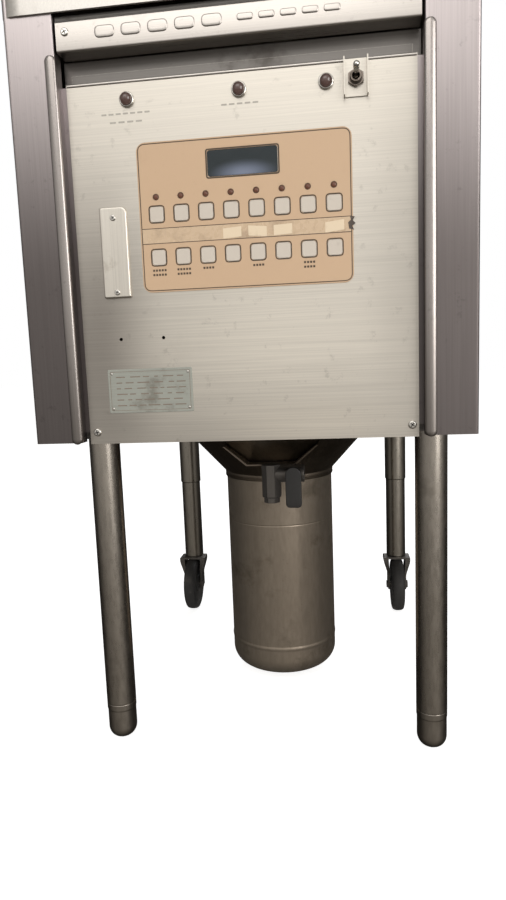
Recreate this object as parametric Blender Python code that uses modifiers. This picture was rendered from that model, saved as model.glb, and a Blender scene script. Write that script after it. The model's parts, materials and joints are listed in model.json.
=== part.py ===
"""Floor-standing electric pressure fryer with a hanging crumb collector.

Run with: blender --background --python part.py
Metres, +Z up. The origin is on the floor under the middle of the machine, and -Y is the front.
"""

import math

import bmesh
import bpy
from mathutils import Matrix, Vector

# Cabinet
CABINET_WIDTH = 0.4572
CABINET_DEPTH = 0.730
UNDERSIDE_Z = 0.407
SHEET = 0.0015
GAP = 0.0003
POST_FACE = 0.0506
JAMB_LIP = 0.012
JAMB_LIP_TOP_Z = 0.766

# Top deck
DECK_OVERHANG_SIDE = 0.0029
DECK_OVERHANG_FRONT = 0.0024
DECK_LIP_Z = 0.8295
DECK_TOP_Z = 0.867
DECK_SHEET = 0.002

# Base frame under the cabinet
BASE_RAIL_WIDTH = 0.048
BASE_RAIL_HEIGHT = 0.020

# Front: header strip, edge trims and the recessed control panel
HEADER_END_GAP = 0.0025
HEADER_BOTTOM_Z = 0.794
HEADER_HEIGHT = 0.0285
HEADER_RETURN = 0.020
HEADER_SETBACK = 0.001
TRIM_WIDTH = 0.0115
TRIM_THICK = 0.0025
TRIM_INSET = 0.001
TRIM_BOTTOM_Z = 0.4055
TRIM_TOP_Z = 0.792
PANEL_SIDE_GAP = 0.0054
PANEL_BOTTOM_Z = 0.4045
PANEL_TOP_Z = 0.768
PANEL_RECESS = 0.012
PANEL_BACK_GAP = 0.0005
PANEL_JOGGLE_DEPTH = 0.008
PANEL_JOGGLE_HEIGHT = 0.011
PANEL_JOGGLE_INSET = 0.0036
PANEL_FLANGE = 0.018

# Keypad
KEYPAD_X = 0.0030
KEY_PITCH = 0.0255
KEY_COLUMNS = 8
KEY_ROWS_Z = (0.6373, 0.5948)
KEY_WIDTH = 0.0138
KEY_HEIGHT = 0.0148
KEY_CORNER = 0.0030
KEY_THICK = 0.0008
KEY_CLEARANCE = 0.0004
KEY_TRAVEL = 0.0005
OVERLAY_WIDTH = 0.2145
OVERLAY_BOTTOM_Z = 0.5603
OVERLAY_TOP_Z = 0.7072
OVERLAY_CORNER = 0.009
OVERLAY_THICK = 0.0006
WINDOW_WIDTH = 0.0698
WINDOW_HEIGHT = 0.0246
WINDOW_Z = 0.6823
WINDOW_THICK = 0.0010

# Lamps, toggle switch and small plates on the control panel
CONTROL_Z = 0.7493
LAMPS_X = {"left": -0.1108, "centre": 0.0022, "right": 0.0867}
LAMP_LENS_R = 0.0060
LAMP_BEZEL_R = 0.0076
LAMP_PROUD = 0.0080
LAMP_BODY_R = 0.0055
LAMP_BODY_LENGTH = 0.022
HOLE_CLEARANCE = 0.0005
TOGGLE_X = 0.1150
TOGGLE_NUT_AF = 0.0143
TOGGLE_NUT_THICK = 0.0028
TOGGLE_BUSHING_R = 0.0058
TOGGLE_BUSHING_BORE_R = 0.0036
TOGGLE_BUSHING_PROUD = 0.0085
TOGGLE_LEVER_LENGTH = 0.0205
TOGGLE_LEVER_TIP_R = 0.0032
TOGGLE_PIVOT_SUNK = 0.0032
TOGGLE_TILT_DEG = 13.0
GUARD_WIDTH = 0.0232
GUARD_BOTTOM_Z = 0.733
GUARD_TOP_Z = 0.767
GUARD_EAR = 0.0085
GUARD_THICK = 0.0012
COVER_X = -0.1318
COVER_WIDTH = 0.0284
COVER_BOTTOM_Z = 0.5565
COVER_TOP_Z = 0.6470
COVER_PROUD = 0.0030
PILOT_HOLES_X = (-0.1320, -0.0865)
PILOT_HOLES_Z = 0.5141
PILOT_HOLE_R = 0.0018

# Legs, feet and casters
LEG_INSET = 0.0276
FRONT_LEG_BACK = 0.130
REAR_LEG_INSET = 0.124
LEG_R = 0.01895
LEG_WALL = 0.0022
FOOT_TOP_Z = 0.048
FOOT_TUCK = 0.00065
FOOT_STEM_TOP_Z = 0.115
FOOT_STEM_CLEARANCE = 0.0012
REAR_LEG_R = 0.0180
REAR_SLEEVE_PROUD = 0.0015
REAR_SLEEVE_BOTTOM_Z = 0.256
CASTER_TOP_Z = 0.104
WHEEL_R = 0.050
WHEEL_WIDTH = 0.024
WHEEL_TRAIL = 0.018
WHEEL_SIDE_CLEARANCE = 0.0022
AXLE_R = 0.005
AXLE_CLEARANCE = 0.0004
FORK_THICK = 0.003
FORK_TOP_WIDTH = 0.050
FORK_DEPTH = 0.030

# Fry vessel, skirt, collector and its clamp, all on one upright axis
VESSEL_BACK = 0.345
VESSEL_R = 0.178
VESSEL_WALL = 0.003
VESSEL_FLANGE_REACH = 0.019
VESSEL_FLANGE_THICK = 0.006
VESSEL_CONE_TOP_Z = 0.432
CONE_SLOPE = 0.90
NECK_CLEARANCE = 0.0038
NECK_OVERLAP = 0.014
SKIRT_OFFSET = 0.00315
SKIRT_NECK_GAP = 0.0083
SKIRT_TOP_Z = 0.418
COLLECTOR_R = 0.081
COLLECTOR_WALL = 0.002
COLLECTOR_BOTTOM_Z = 0.014
COLLECTOR_KNUCKLE = 0.025
WELD_RING_Z = 0.059
WELD_RING_PROUD = 0.0008
CLAMP_PROUD = 0.0020
CLAMP_HEIGHT = 0.0095

# Drain chute and drain valve
CHUTE_TOP_HALF = 0.0627
CHUTE_BOTTOM_HALF = 0.0325
CHUTE_BOTTOM_ABOVE_SKIRT = 0.0235
CHUTE_HEIGHT = 0.025
CHUTE_BEFORE_COLLECTOR = 0.047
CHUTE_SHEET = 0.002
VALVE_ABOVE_SKIRT = 0.0140
VALVE_BEFORE_COLLECTOR = 0.061
SPOUT_X = 0.0020
SPOUT_R = 0.0130
SPOUT_DROP = 0.0399
SPOUT_MOUTH = 0.008
VALVE_BODY_R = 0.0120
VALVE_INLET_R = 0.0060
STEM_X = 0.0325
HANDLE_WIDTH = 0.021
HANDLE_LENGTH = 0.044
HANDLE_THICK = 0.005

# Lid, arm, spindle and hinge
GASKET_THICK = 0.006
LID_OVERHANG = 0.012
LID_RIM_STEP = 0.012
GASKET_INSET = 0.012
LID_RIM = 0.012
LID_DOME = 0.013
LID_BOSS_R = 0.028
LID_BOSS_TOP_Z = 0.914
ARM_WIDTH = 0.040
ARM_BOTTOM_Z = 0.925
ARM_HEIGHT = 0.024
ARM_NOSE_BACK = 0.103
ARM_NOSE_WIDTH = 0.014
ARM_NOSE_LENGTH = 0.020
ARM_BOSS_RISE = 0.012
ARM_BOSS_R = 0.030
SPINDLE_R = 0.0110
SPINDLE_CLEARANCE = 0.0005
WHEEL_HUB_R = 0.022
HANDWHEEL_R = 0.072
HANDWHEEL_RIM_R = 0.009
HANDWHEEL_Z = 0.998
HANDWHEEL_SPOKES = 4
HINGE_BEHIND_VESSEL = 0.225
HINGE_Z = 0.917
HINGE_PIN_R = 0.006
HINGE_EYE_R = 0.017
HINGE_EAR_THICK = 0.008
HINGE_SIDE_CLEARANCE = 0.003

# Front latch
LATCH_BACK = 0.075
LATCH_Z = 0.890
LATCH_WIDTH = 0.020
LATCH_OPEN_DEG = 35.0
LATCH_PIN_R = 0.004
LATCH_LIFT = 0.004
LATCH_NOSE_GAP = 0.002
LATCH_LIP = 0.012
LATCH_LIP_THICK = 0.009
LATCH_GRIP = 0.045
LATCH_FOOT_THICK = 0.003
LATCH_FOOT_MARGIN = 0.008
LATCH_EAR_R = 0.009
LATCH_EAR_THICK = 0.004
LATCH_SIDE_CLEARANCE = 0.002

# Rear of the deck: exhaust riser, gauge and relief valve
RISER_SIDE_INSET = 0.0686
RISER_BACK_INSET = 0.003
RISER_DEPTH = 0.060
RISER_TOP_Z = 1.100
GAUGE_X = 0.165
VALVE_X = -0.165
FITTINGS_BEFORE_BACK = 0.120
GAUGE_R = 0.032
GAUGE_Z = 0.925

# Sizes worked out from those above. Each *_BACK is a distance back from the front of the posts;
# the lever stands farthest forward and the deck farthest back, and the origin is midway.
HALF_WIDTH = CABINET_WIDTH / 2
OPENING_WIDTH = CABINET_WIDTH - 2 * POST_FACE
JAMB_DEPTH = PANEL_RECESS + PANEL_BACK_GAP + 2 * SHEET
HEADER_WIDTH = OPENING_WIDTH - 2 * HEADER_END_GAP
PANEL_WIDTH = OPENING_WIDTH - 2 * PANEL_SIDE_GAP
RISER_WIDTH = CABINET_WIDTH - 2 * RISER_SIDE_INSET
LEG_X = HALF_WIDTH - LEG_INSET
FOOT_R = LEG_R - FOOT_TUCK
REAR_SLEEVE_R = REAR_LEG_R + REAR_SLEEVE_PROUD
VESSEL_FLANGE_R = VESSEL_R + VESSEL_FLANGE_REACH
LID_R = VESSEL_R + LID_OVERHANG
CLAMP_R = COLLECTOR_R + CLAMP_PROUD
NECK_R = COLLECTOR_R - COLLECTOR_WALL - NECK_CLEARANCE
SKIRT_NECK_R = NECK_R + SKIRT_NECK_GAP
SKIRT_BOTTOM_Z = VESSEL_CONE_TOP_Z - (VESSEL_R + SKIRT_OFFSET - SKIRT_NECK_R) / CONE_SLOPE
COLLECTOR_TOP_Z = SKIRT_BOTTOM_Z - CLAMP_HEIGHT
CHUTE_BOTTOM_Z = SKIRT_BOTTOM_Z + CHUTE_BOTTOM_ABOVE_SKIRT
CHUTE_TOP_Z = CHUTE_BOTTOM_Z + CHUTE_HEIGHT
VALVE_Z = SKIRT_BOTTOM_Z + VALVE_ABOVE_SKIRT
SPOUT_BOTTOM_Z = VALVE_Z - SPOUT_DROP
NECK_BOTTOM_Z = COLLECTOR_TOP_Z - NECK_OVERLAP
TOGGLE_PIVOT_PROUD = TOGGLE_BUSHING_PROUD - TOGGLE_PIVOT_SUNK
LEVER_REACH = (TOGGLE_LEVER_LENGTH - TOGGLE_LEVER_TIP_R) * math.cos(math.radians(TOGGLE_TILT_DEG))
FRONT_REACH = TOGGLE_PIVOT_PROUD + LEVER_REACH + TOGGLE_LEVER_TIP_R - PANEL_RECESS
FRONT_Y = (FRONT_REACH - DECK_OVERHANG_FRONT - CABINET_DEPTH) / 2
BACK_Y = FRONT_Y + CABINET_DEPTH
FRONT_LEG_Y = FRONT_Y + FRONT_LEG_BACK
REAR_LEG_Y = BACK_Y - REAR_LEG_INSET
VESSEL_Y = FRONT_Y + VESSEL_BACK
CHUTE_Y = VESSEL_Y - COLLECTOR_R - CHUTE_BEFORE_COLLECTOR
VALVE_Y = VESSEL_Y - COLLECTOR_R - VALVE_BEFORE_COLLECTOR
ARM_NOSE_Y = FRONT_Y + ARM_NOSE_BACK
HINGE_Y = VESSEL_Y + HINGE_BEHIND_VESSEL
LATCH_Y = FRONT_Y + LATCH_BACK
RISER_BACK_Y = BACK_Y - RISER_BACK_INSET
RISER_FRONT_Y = RISER_BACK_Y - RISER_DEPTH
FITTINGS_Y = BACK_Y - FITTINGS_BEFORE_BACK
DECK_UNDER_Z = DECK_TOP_Z - DECK_SHEET
WALL_TOP_Z = DECK_UNDER_Z - 2 * GAP
PANEL_Y = FRONT_Y + PANEL_RECESS
CASTER_Y = REAR_LEG_Y - WHEEL_TRAIL
FLANGE_BOTTOM_Z = DECK_TOP_Z + GAP
FLANGE_TOP_Z = FLANGE_BOTTOM_Z + VESSEL_FLANGE_THICK
GASKET_BOTTOM_Z = FLANGE_TOP_Z + GAP
LID_BOTTOM_Z = GASKET_BOTTOM_Z + GASKET_THICK + GAP
ARM_TOP_Z = ARM_BOTTOM_Z + ARM_HEIGHT
BASE_TOP_Z = UNDERSIDE_Z + BASE_RAIL_HEIGHT

FRONT_TO_BACK = Matrix.Rotation(math.radians(90), 4, "X")
SIDE_TO_SIDE = Matrix.Rotation(math.radians(90), 4, "Y")
ACROSS = Matrix(((0, 0, 1), (1, 0, 0), (0, 1, 0))).to_4x4()

for leftover in list(bpy.data.objects):
    bpy.data.objects.remove(leftover)

fryer = bpy.data.collections.new("pressure_fryer")
cutters = bpy.data.collections.new("cutters")
bpy.context.scene.collection.children.link(fryer)
bpy.context.scene.collection.children.link(cutters)


# ---------------------------------------------------------------- materials
def material(name, colour, roughness, metallic):
    made = bpy.data.materials.new(name)
    made.use_nodes = True
    shader = made.node_tree.nodes["Principled BSDF"]
    shader.inputs["Base Color"].default_value = (*colour, 1.0)
    shader.inputs["Roughness"].default_value = roughness
    shader.inputs["Metallic"].default_value = metallic
    made.diffuse_color = (*colour, 1.0)
    return made


STAINLESS = material("stainless", (0.60, 0.57, 0.53), 0.34, 1.0)
PANEL_STEEL = material("panel_steel", (0.70, 0.66, 0.58), 0.38, 1.0)
TUBE_STEEL = material("tube_steel", (0.22, 0.20, 0.17), 0.36, 1.0)
POT_STEEL = material("pot_steel", (0.20, 0.16, 0.12), 0.40, 1.0)
DARK_STEEL = material("dark_steel", (0.05, 0.05, 0.045), 0.50, 0.8)
CAST_ALUMINIUM = material("cast_aluminium", (0.55, 0.55, 0.54), 0.45, 1.0)
CHROME = material("chrome", (0.70, 0.68, 0.64), 0.18, 1.0)
BRASS = material("brass", (0.55, 0.40, 0.18), 0.35, 1.0)
OVERLAY_FILM = material("overlay_film", (0.62, 0.42, 0.25), 0.50, 0.0)
KEY_FILM = material("key_film", (0.70, 0.66, 0.60), 0.45, 0.0)
WINDOW_PLASTIC = material("window_plastic", (0.02, 0.04, 0.05), 0.12, 0.0)
LENS_PLASTIC = material("lens_plastic", (0.08, 0.03, 0.03), 0.25, 0.0)
BLACK_PLASTIC = material("black_plastic", (0.02, 0.02, 0.02), 0.45, 0.0)
TYRE_RUBBER = material("tyre_rubber", (0.02, 0.02, 0.02), 0.70, 0.0)
SEAL_RUBBER = material("seal_rubber", (0.10, 0.06, 0.04), 0.65, 0.0)


# ---------------------------------------------------------------- building blocks
def place(name, mesh, finish, at=(0, 0, 0), turn=None, parent=None):
    """An object in the part's collection, or a hidden cutter when it has no finish."""
    made = bpy.data.objects.new(name, mesh)
    turning = turn.to_4x4() if turn else Matrix.Identity(4)
    made.matrix_world = Matrix.Translation(at) @ turning
    if finish is None:
        cutters.objects.link(made)
        made.hide_render = True
        made.display_type = "WIRE"
    else:
        fryer.objects.link(made)
        mesh.materials.append(finish)
    if parent:
        made.parent = parent
        made.matrix_parent_inverse = parent.matrix_world.inverted()
    return made


def mesh_from(name, bm):
    mesh = bpy.data.meshes.new(name)
    bm.to_mesh(mesh)
    bm.free()
    return mesh


def box(name, low, high, finish, bevel=0.0, segments=2):
    """A box between two corners, with its origin in its middle."""
    low, high = Vector(low), Vector(high)
    bm = bmesh.new()
    bmesh.ops.create_cube(bm, size=1.0)
    bmesh.ops.scale(bm, vec=high - low, verts=bm.verts)
    made = place(name, mesh_from(name, bm), finish, (low + high) / 2)
    if bevel:
        soften(made, bevel, segments)
    return made


def soften(obj, width, segments=2, angle=40):
    rounding = obj.modifiers.new("rounding", "BEVEL")
    rounding.width = width
    rounding.segments = segments
    rounding.limit_method = "ANGLE"
    rounding.angle_limit = math.radians(angle)


def cylinder(name, radius, low, high, centre, finish, turn=None, sides=32):
    """A cylinder along local Z from low to high, then turned and moved to its centre."""
    bm = bmesh.new()
    bmesh.ops.create_cone(
        bm, cap_ends=True, segments=sides, radius1=radius, radius2=radius, depth=high - low
    )
    bmesh.ops.translate(bm, vec=(0, 0, (low + high) / 2), verts=bm.verts)
    mesh = mesh_from(name, bm)
    mesh.shade_smooth()
    mesh.set_sharp_from_angle(angle=math.radians(40))
    return place(name, mesh, finish, centre, turn)


def turned(name, profile, centre, finish, turn=None, steps=48, closed=False):
    """A profile of (radius, height) points spun about local Z: its outer side runs top to bottom."""
    mesh = bpy.data.meshes.new(name)
    count = len(profile)
    edges = [(i, i + 1) for i in range(count - 1)]
    if closed:
        edges.append((count - 1, 0))
    mesh.from_pydata([(r, 0, z) for r, z in profile], edges, [])
    made = place(name, mesh, finish, centre, turn)
    spin = made.modifiers.new("spin", "SCREW")
    spin.steps = spin.render_steps = steps
    spin.use_merge_vertices = True
    spin.merge_threshold = 0.00001
    return made


def flat_shape(name, outline, thickness, centre, finish, turn=None):
    """A flat outline in local XY, as thick as asked, centred on its own plane."""
    bm = bmesh.new()
    count = len(outline)
    low = [bm.verts.new((x, y, -thickness / 2)) for x, y in outline]
    high = [bm.verts.new((x, y, thickness / 2)) for x, y in outline]
    bm.faces.new(low)
    bm.faces.new(high)
    for i in range(count):
        j = (i + 1) % count
        bm.faces.new((low[i], low[j], high[j], high[i]))
    bmesh.ops.recalc_face_normals(bm, faces=bm.faces)
    return place(name, mesh_from(name, bm), finish, centre, turn)


def tube(name, path, radius, finish, closed=False, resolution=3):
    """A round bar or tube along a list of points."""
    curve = bpy.data.curves.new(name, "CURVE")
    curve.dimensions = "3D"
    curve.bevel_depth = radius
    curve.bevel_resolution = resolution
    curve.use_fill_caps = True
    spline = curve.splines.new("POLY")
    spline.points.add(len(path) - 1)
    for point, spot in zip(spline.points, path):
        point.co = (*spot, 1)
    spline.use_cyclic_u = closed
    return as_mesh(place(name, curve, finish))


def as_mesh(source):
    """Replaces a curve object by a mesh of the same shape with its caps welded on."""
    bpy.context.view_layer.update()
    graph = bpy.context.evaluated_depsgraph_get()
    mesh = bpy.data.meshes.new_from_object(source.evaluated_get(graph))
    bm = bmesh.new()
    bm.from_mesh(mesh)
    bmesh.ops.remove_doubles(bm, verts=bm.verts, dist=0.000005)
    bmesh.ops.recalc_face_normals(bm, faces=bm.faces)
    bm.to_mesh(mesh)
    bm.free()
    made = bpy.data.objects.new(source.name, mesh)
    made.matrix_world = source.matrix_world
    made.hide_render = source.hide_render
    made.display_type = source.display_type
    for owner in source.users_collection:
        owner.objects.link(made)
    name = source.name
    bpy.data.objects.remove(source)
    made.name = name
    return made


def helper(made):
    """Turns a finished piece into a hidden helper for a Boolean."""
    fryer.objects.unlink(made)
    cutters.objects.link(made)
    made.hide_render = True
    made.display_type = "WIRE"
    return made


def cut(body, *tools):
    for tool in tools:
        step = body.modifiers.new("cut_" + tool.name, "BOOLEAN")
        step.operation = "DIFFERENCE"
        step.object = tool


def join(body, *pieces):
    for piece in pieces:
        step = body.modifiers.new("join_" + piece.name, "BOOLEAN")
        step.operation = "UNION"
        step.object = helper(piece)


def rounded_rectangle(width, height, corner, steps=4):
    """The outline of a rectangle whose corners are arcs, centred on the origin."""
    outline = []
    for index, (sx, sy) in enumerate(((1, 1), (-1, 1), (-1, -1), (1, -1))):
        for step in range(steps + 1):
            angle = math.radians(90) * (index + step / steps)
            outline.append(
                (
                    sx * (width / 2 - corner) + corner * math.cos(angle),
                    sy * (height / 2 - corner) + corner * math.sin(angle),
                )
            )
    return outline


def arc(centre, radius, start_deg, end_deg, steps):
    """Points along an arc, in (first, second) coordinates."""
    return [
        (
            centre[0] + radius * math.cos(math.radians(start_deg + (end_deg - start_deg) * i / steps)),
            centre[1] + radius * math.sin(math.radians(start_deg + (end_deg - start_deg) * i / steps)),
        )
        for i in range(steps + 1)
    ]


def circle_outline(radius, sides):
    return [
        (radius * math.cos(math.tau * i / sides), radius * math.sin(math.tau * i / sides))
        for i in range(sides)
    ]


# ---------------------------------------------------------------- cabinet
def build_base_frame():
    """A welded ring of four flat rails that the walls, the vessel and the legs are fixed to."""
    x_out = HALF_WIDTH - SHEET - GAP
    front = FRONT_Y + JAMB_DEPTH + PANEL_FLANGE + 2 * GAP
    back = BACK_Y - SHEET - GAP
    frame = box(
        "base_frame",
        (-x_out, front, UNDERSIDE_Z + 2 * GAP),
        (x_out, back, BASE_TOP_Z),
        DARK_STEEL,
    )
    opening = box(
        "base_opening",
        (-x_out + BASE_RAIL_WIDTH, front + BASE_RAIL_WIDTH, UNDERSIDE_Z - BASE_RAIL_HEIGHT),
        (x_out - BASE_RAIL_WIDTH, back - BASE_RAIL_WIDTH, BASE_TOP_Z + BASE_RAIL_HEIGHT),
        None,
    )
    cut(frame, opening)


def build_side_panel(name, side):
    """One bent sheet: side wall, front post, jamb, and the lip that the control panel screws to."""
    wall, jamb = HALF_WIDTH, OPENING_WIDTH / 2
    outline = [
        (wall, BACK_Y),
        (wall, FRONT_Y),
        (jamb, FRONT_Y),
        (jamb, FRONT_Y + JAMB_DEPTH),
        (jamb + SHEET, FRONT_Y + JAMB_DEPTH),
        (jamb + SHEET, FRONT_Y + SHEET),
        (wall - SHEET, FRONT_Y + SHEET),
        (wall - SHEET, BACK_Y),
    ]
    outline = [(side * x, y) for x, y in outline]
    height = WALL_TOP_Z - UNDERSIDE_Z
    panel = flat_shape(name, outline, height, (0, 0, UNDERSIDE_Z + height / 2), STAINLESS)
    lip_y = FRONT_Y + JAMB_DEPTH
    lip_x = sorted((side * (jamb - JAMB_LIP), side * (jamb + SHEET)))
    lip = box(
        name + "_lip",
        (lip_x[0], lip_y - SHEET, UNDERSIDE_Z + BASE_RAIL_HEIGHT / 2),
        (lip_x[1], lip_y, JAMB_LIP_TOP_Z),
        STAINLESS,
    )
    join(panel, lip)


def build_back_panel():
    inner = HALF_WIDTH - SHEET - GAP
    panel = box(
        "back_panel",
        (-inner, BACK_Y - SHEET, UNDERSIDE_Z),
        (inner, BACK_Y, WALL_TOP_Z),
        STAINLESS,
    )
    louvres = 6
    for index in range(louvres):
        z = 0.62 + index * 0.022
        slot = box(f"louvre_{index}", (-0.06, BACK_Y - 0.01, z), (0.06, BACK_Y + 0.01, z + 0.005), None)
        cut(panel, slot)


def build_top_deck():
    """A pan turned upside down, with the vessel's mouth cut through it."""
    x = HALF_WIDTH + DECK_OVERHANG_SIDE
    front, back = FRONT_Y - DECK_OVERHANG_FRONT, BACK_Y + DECK_OVERHANG_FRONT
    deck = box("top_deck", (-x, front, DECK_LIP_Z), (x, back, DECK_TOP_Z), STAINLESS, bevel=0.0012)
    hollow = box(
        "deck_hollow",
        (-x + DECK_SHEET, front + DECK_SHEET, DECK_LIP_Z - 0.02),
        (x - DECK_SHEET, back - DECK_SHEET, DECK_UNDER_Z),
        None,
    )
    mouth = cylinder("deck_mouth", VESSEL_R + 0.0015, 0.8, 0.9, (0, VESSEL_Y, 0), None, sides=64)
    cut(deck, hollow, mouth)


def build_header():
    """The strip above the control panel: a channel whose returns point into the cabinet."""
    front = FRONT_Y + HEADER_SETBACK
    top = HEADER_BOTTOM_Z + HEADER_HEIGHT
    back = front + HEADER_RETURN
    outline = [
        (front, HEADER_BOTTOM_Z),
        (back, HEADER_BOTTOM_Z),
        (back, HEADER_BOTTOM_Z + SHEET),
        (front + SHEET, HEADER_BOTTOM_Z + SHEET),
        (front + SHEET, top - SHEET),
        (back, top - SHEET),
        (back, top),
        (front, top),
    ]
    flat_shape("header_strip", outline, HEADER_WIDTH, (0, 0, 0), STAINLESS, ACROSS)


def build_edge_trim(name, side):
    """A half-round bead with round ends on the inner edge of each front post."""
    middle = side * (OPENING_WIDTH / 2 - TRIM_INSET + TRIM_WIDTH / 2)
    height = TRIM_TOP_Z - TRIM_BOTTOM_Z
    outline = rounded_rectangle(TRIM_WIDTH, height, TRIM_WIDTH * 0.45, 5)
    centre = (middle, FRONT_Y - GAP - TRIM_THICK / 2, (TRIM_TOP_Z + TRIM_BOTTOM_Z) / 2)
    trim = flat_shape(name, outline, TRIM_THICK, centre, STAINLESS, FRONT_TO_BACK)
    soften(trim, TRIM_THICK * 0.4, 2)


def build_control_panel():
    """The recessed front sheet, joggled back at its top edge and folded back at its bottom edge."""
    front, back = PANEL_Y, PANEL_Y + SHEET
    joggle = PANEL_Y + PANEL_JOGGLE_DEPTH
    fold = FRONT_Y + JAMB_DEPTH + PANEL_FLANGE - GAP
    rim = PANEL_TOP_Z + PANEL_JOGGLE_HEIGHT
    section = [
        (front, PANEL_BOTTOM_Z),
        (fold, PANEL_BOTTOM_Z),
        (fold, PANEL_BOTTOM_Z + SHEET),
        (back, PANEL_BOTTOM_Z + SHEET),
        (back, PANEL_TOP_Z - SHEET),
        (joggle + SHEET, PANEL_TOP_Z - SHEET),
        (joggle + SHEET, rim),
        (joggle, rim),
        (joggle, PANEL_TOP_Z),
        (front, PANEL_TOP_Z),
    ]
    panel = flat_shape("control_panel", section, PANEL_WIDTH, (0, 0, 0), PANEL_STEEL, ACROSS)
    inset = PANEL_JOGGLE_INSET
    for side in (-1, 1):
        corner = sorted((side * (PANEL_WIDTH / 2 - inset), side * PANEL_WIDTH))
        top = box(
            f"panel_top_corner_{side}",
            (corner[0], back + SHEET, PANEL_TOP_Z - 2 * SHEET),
            (corner[1], joggle + 0.02, rim + 0.02),
            None,
        )
        bottom = box(
            f"panel_bottom_corner_{side}",
            (corner[0], back + SHEET, PANEL_BOTTOM_Z - 0.01),
            (corner[1], fold + 0.02, PANEL_BOTTOM_Z + 0.01),
            None,
        )
        cut(panel, top, bottom)
    for lamp, x in LAMPS_X.items():
        cut(panel, front_hole("lamp_hole_" + lamp, LAMP_BODY_R + HOLE_CLEARANCE, x, CONTROL_Z))
    cut(panel, front_hole("toggle_hole", TOGGLE_BUSHING_R + HOLE_CLEARANCE, TOGGLE_X, CONTROL_Z))
    for index, x in enumerate(PILOT_HOLES_X):
        cut(panel, front_hole(f"pilot_hole_{index}", PILOT_HOLE_R, x, PILOT_HOLES_Z, 12))


def front_hole(name, radius, x, z, sides=20):
    """A cutter that runs front to back through the control panel and what lies on it."""
    return cylinder(name, radius, -0.012, 0.012, (x, PANEL_Y, z), None, FRONT_TO_BACK, sides)


# ---------------------------------------------------------------- things on the control panel
def key_x(column):
    return KEYPAD_X + (column - (KEY_COLUMNS - 1) / 2) * KEY_PITCH


def build_keypad():
    """A thin overlay with a hole for each key, and the keys standing just proud of it."""
    height = OVERLAY_TOP_Z - OVERLAY_BOTTOM_Z
    overlay_y = PANEL_Y - GAP - OVERLAY_THICK / 2
    overlay = flat_shape(
        "keypad_overlay",
        rounded_rectangle(OVERLAY_WIDTH, height, OVERLAY_CORNER, 6),
        OVERLAY_THICK,
        (KEYPAD_X, overlay_y, OVERLAY_BOTTOM_Z + height / 2),
        OVERLAY_FILM,
        FRONT_TO_BACK,
    )
    window_hole = flat_shape(
        "window_hole",
        rounded_rectangle(WINDOW_WIDTH + 2 * KEY_CLEARANCE, WINDOW_HEIGHT + 2 * KEY_CLEARANCE, 0.0025),
        0.01,
        (KEYPAD_X, overlay_y, WINDOW_Z),
        None,
        FRONT_TO_BACK,
    )
    cut(overlay, window_hole)
    flat_shape(
        "display_window",
        rounded_rectangle(WINDOW_WIDTH, WINDOW_HEIGHT, 0.002),
        WINDOW_THICK,
        (KEYPAD_X, PANEL_Y - GAP - WINDOW_THICK / 2, WINDOW_Z),
        WINDOW_PLASTIC,
        FRONT_TO_BACK,
    )
    pad = rounded_rectangle(KEY_WIDTH, KEY_HEIGHT, KEY_CORNER, 4)
    hole = rounded_rectangle(
        KEY_WIDTH + 2 * KEY_CLEARANCE, KEY_HEIGHT + 2 * KEY_CLEARANCE, KEY_CORNER + KEY_CLEARANCE, 4
    )
    key_y = PANEL_Y - GAP - KEY_TRAVEL - KEY_THICK / 2
    for row, z in enumerate(KEY_ROWS_Z, start=1):
        for column in range(KEY_COLUMNS):
            x = key_x(column)
            label = f"{row}_{column + 1}"
            flat_shape("key_" + label, pad, KEY_THICK, (x, key_y, z), KEY_FILM, FRONT_TO_BACK)
            tool = flat_shape("key_hole_" + label, hole, 0.01, (x, overlay_y, z), None, FRONT_TO_BACK)
            cut(overlay, tool)


def build_lamp(name, x):
    """An indicator lamp: domed lens, bezel, and a body that passes through the panel."""
    lens = LAMP_LENS_R
    profile = [
        (0, LAMP_PROUD),
        (lens * 0.55, LAMP_PROUD - lens * 0.06),
        (lens * 0.88, LAMP_PROUD - lens * 0.28),
        (lens, LAMP_PROUD - lens * 0.6),
        (lens, 0.0022),
        (LAMP_BEZEL_R - 0.0006, 0.0022),
        (LAMP_BEZEL_R, 0.0016),
        (LAMP_BEZEL_R, GAP),
        (LAMP_BODY_R, GAP),
        (LAMP_BODY_R, -LAMP_BODY_LENGTH),
        (0, -LAMP_BODY_LENGTH),
    ]
    turned(name, profile, (x, PANEL_Y, CONTROL_Z), LENS_PLASTIC, FRONT_TO_BACK, steps=24)


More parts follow.
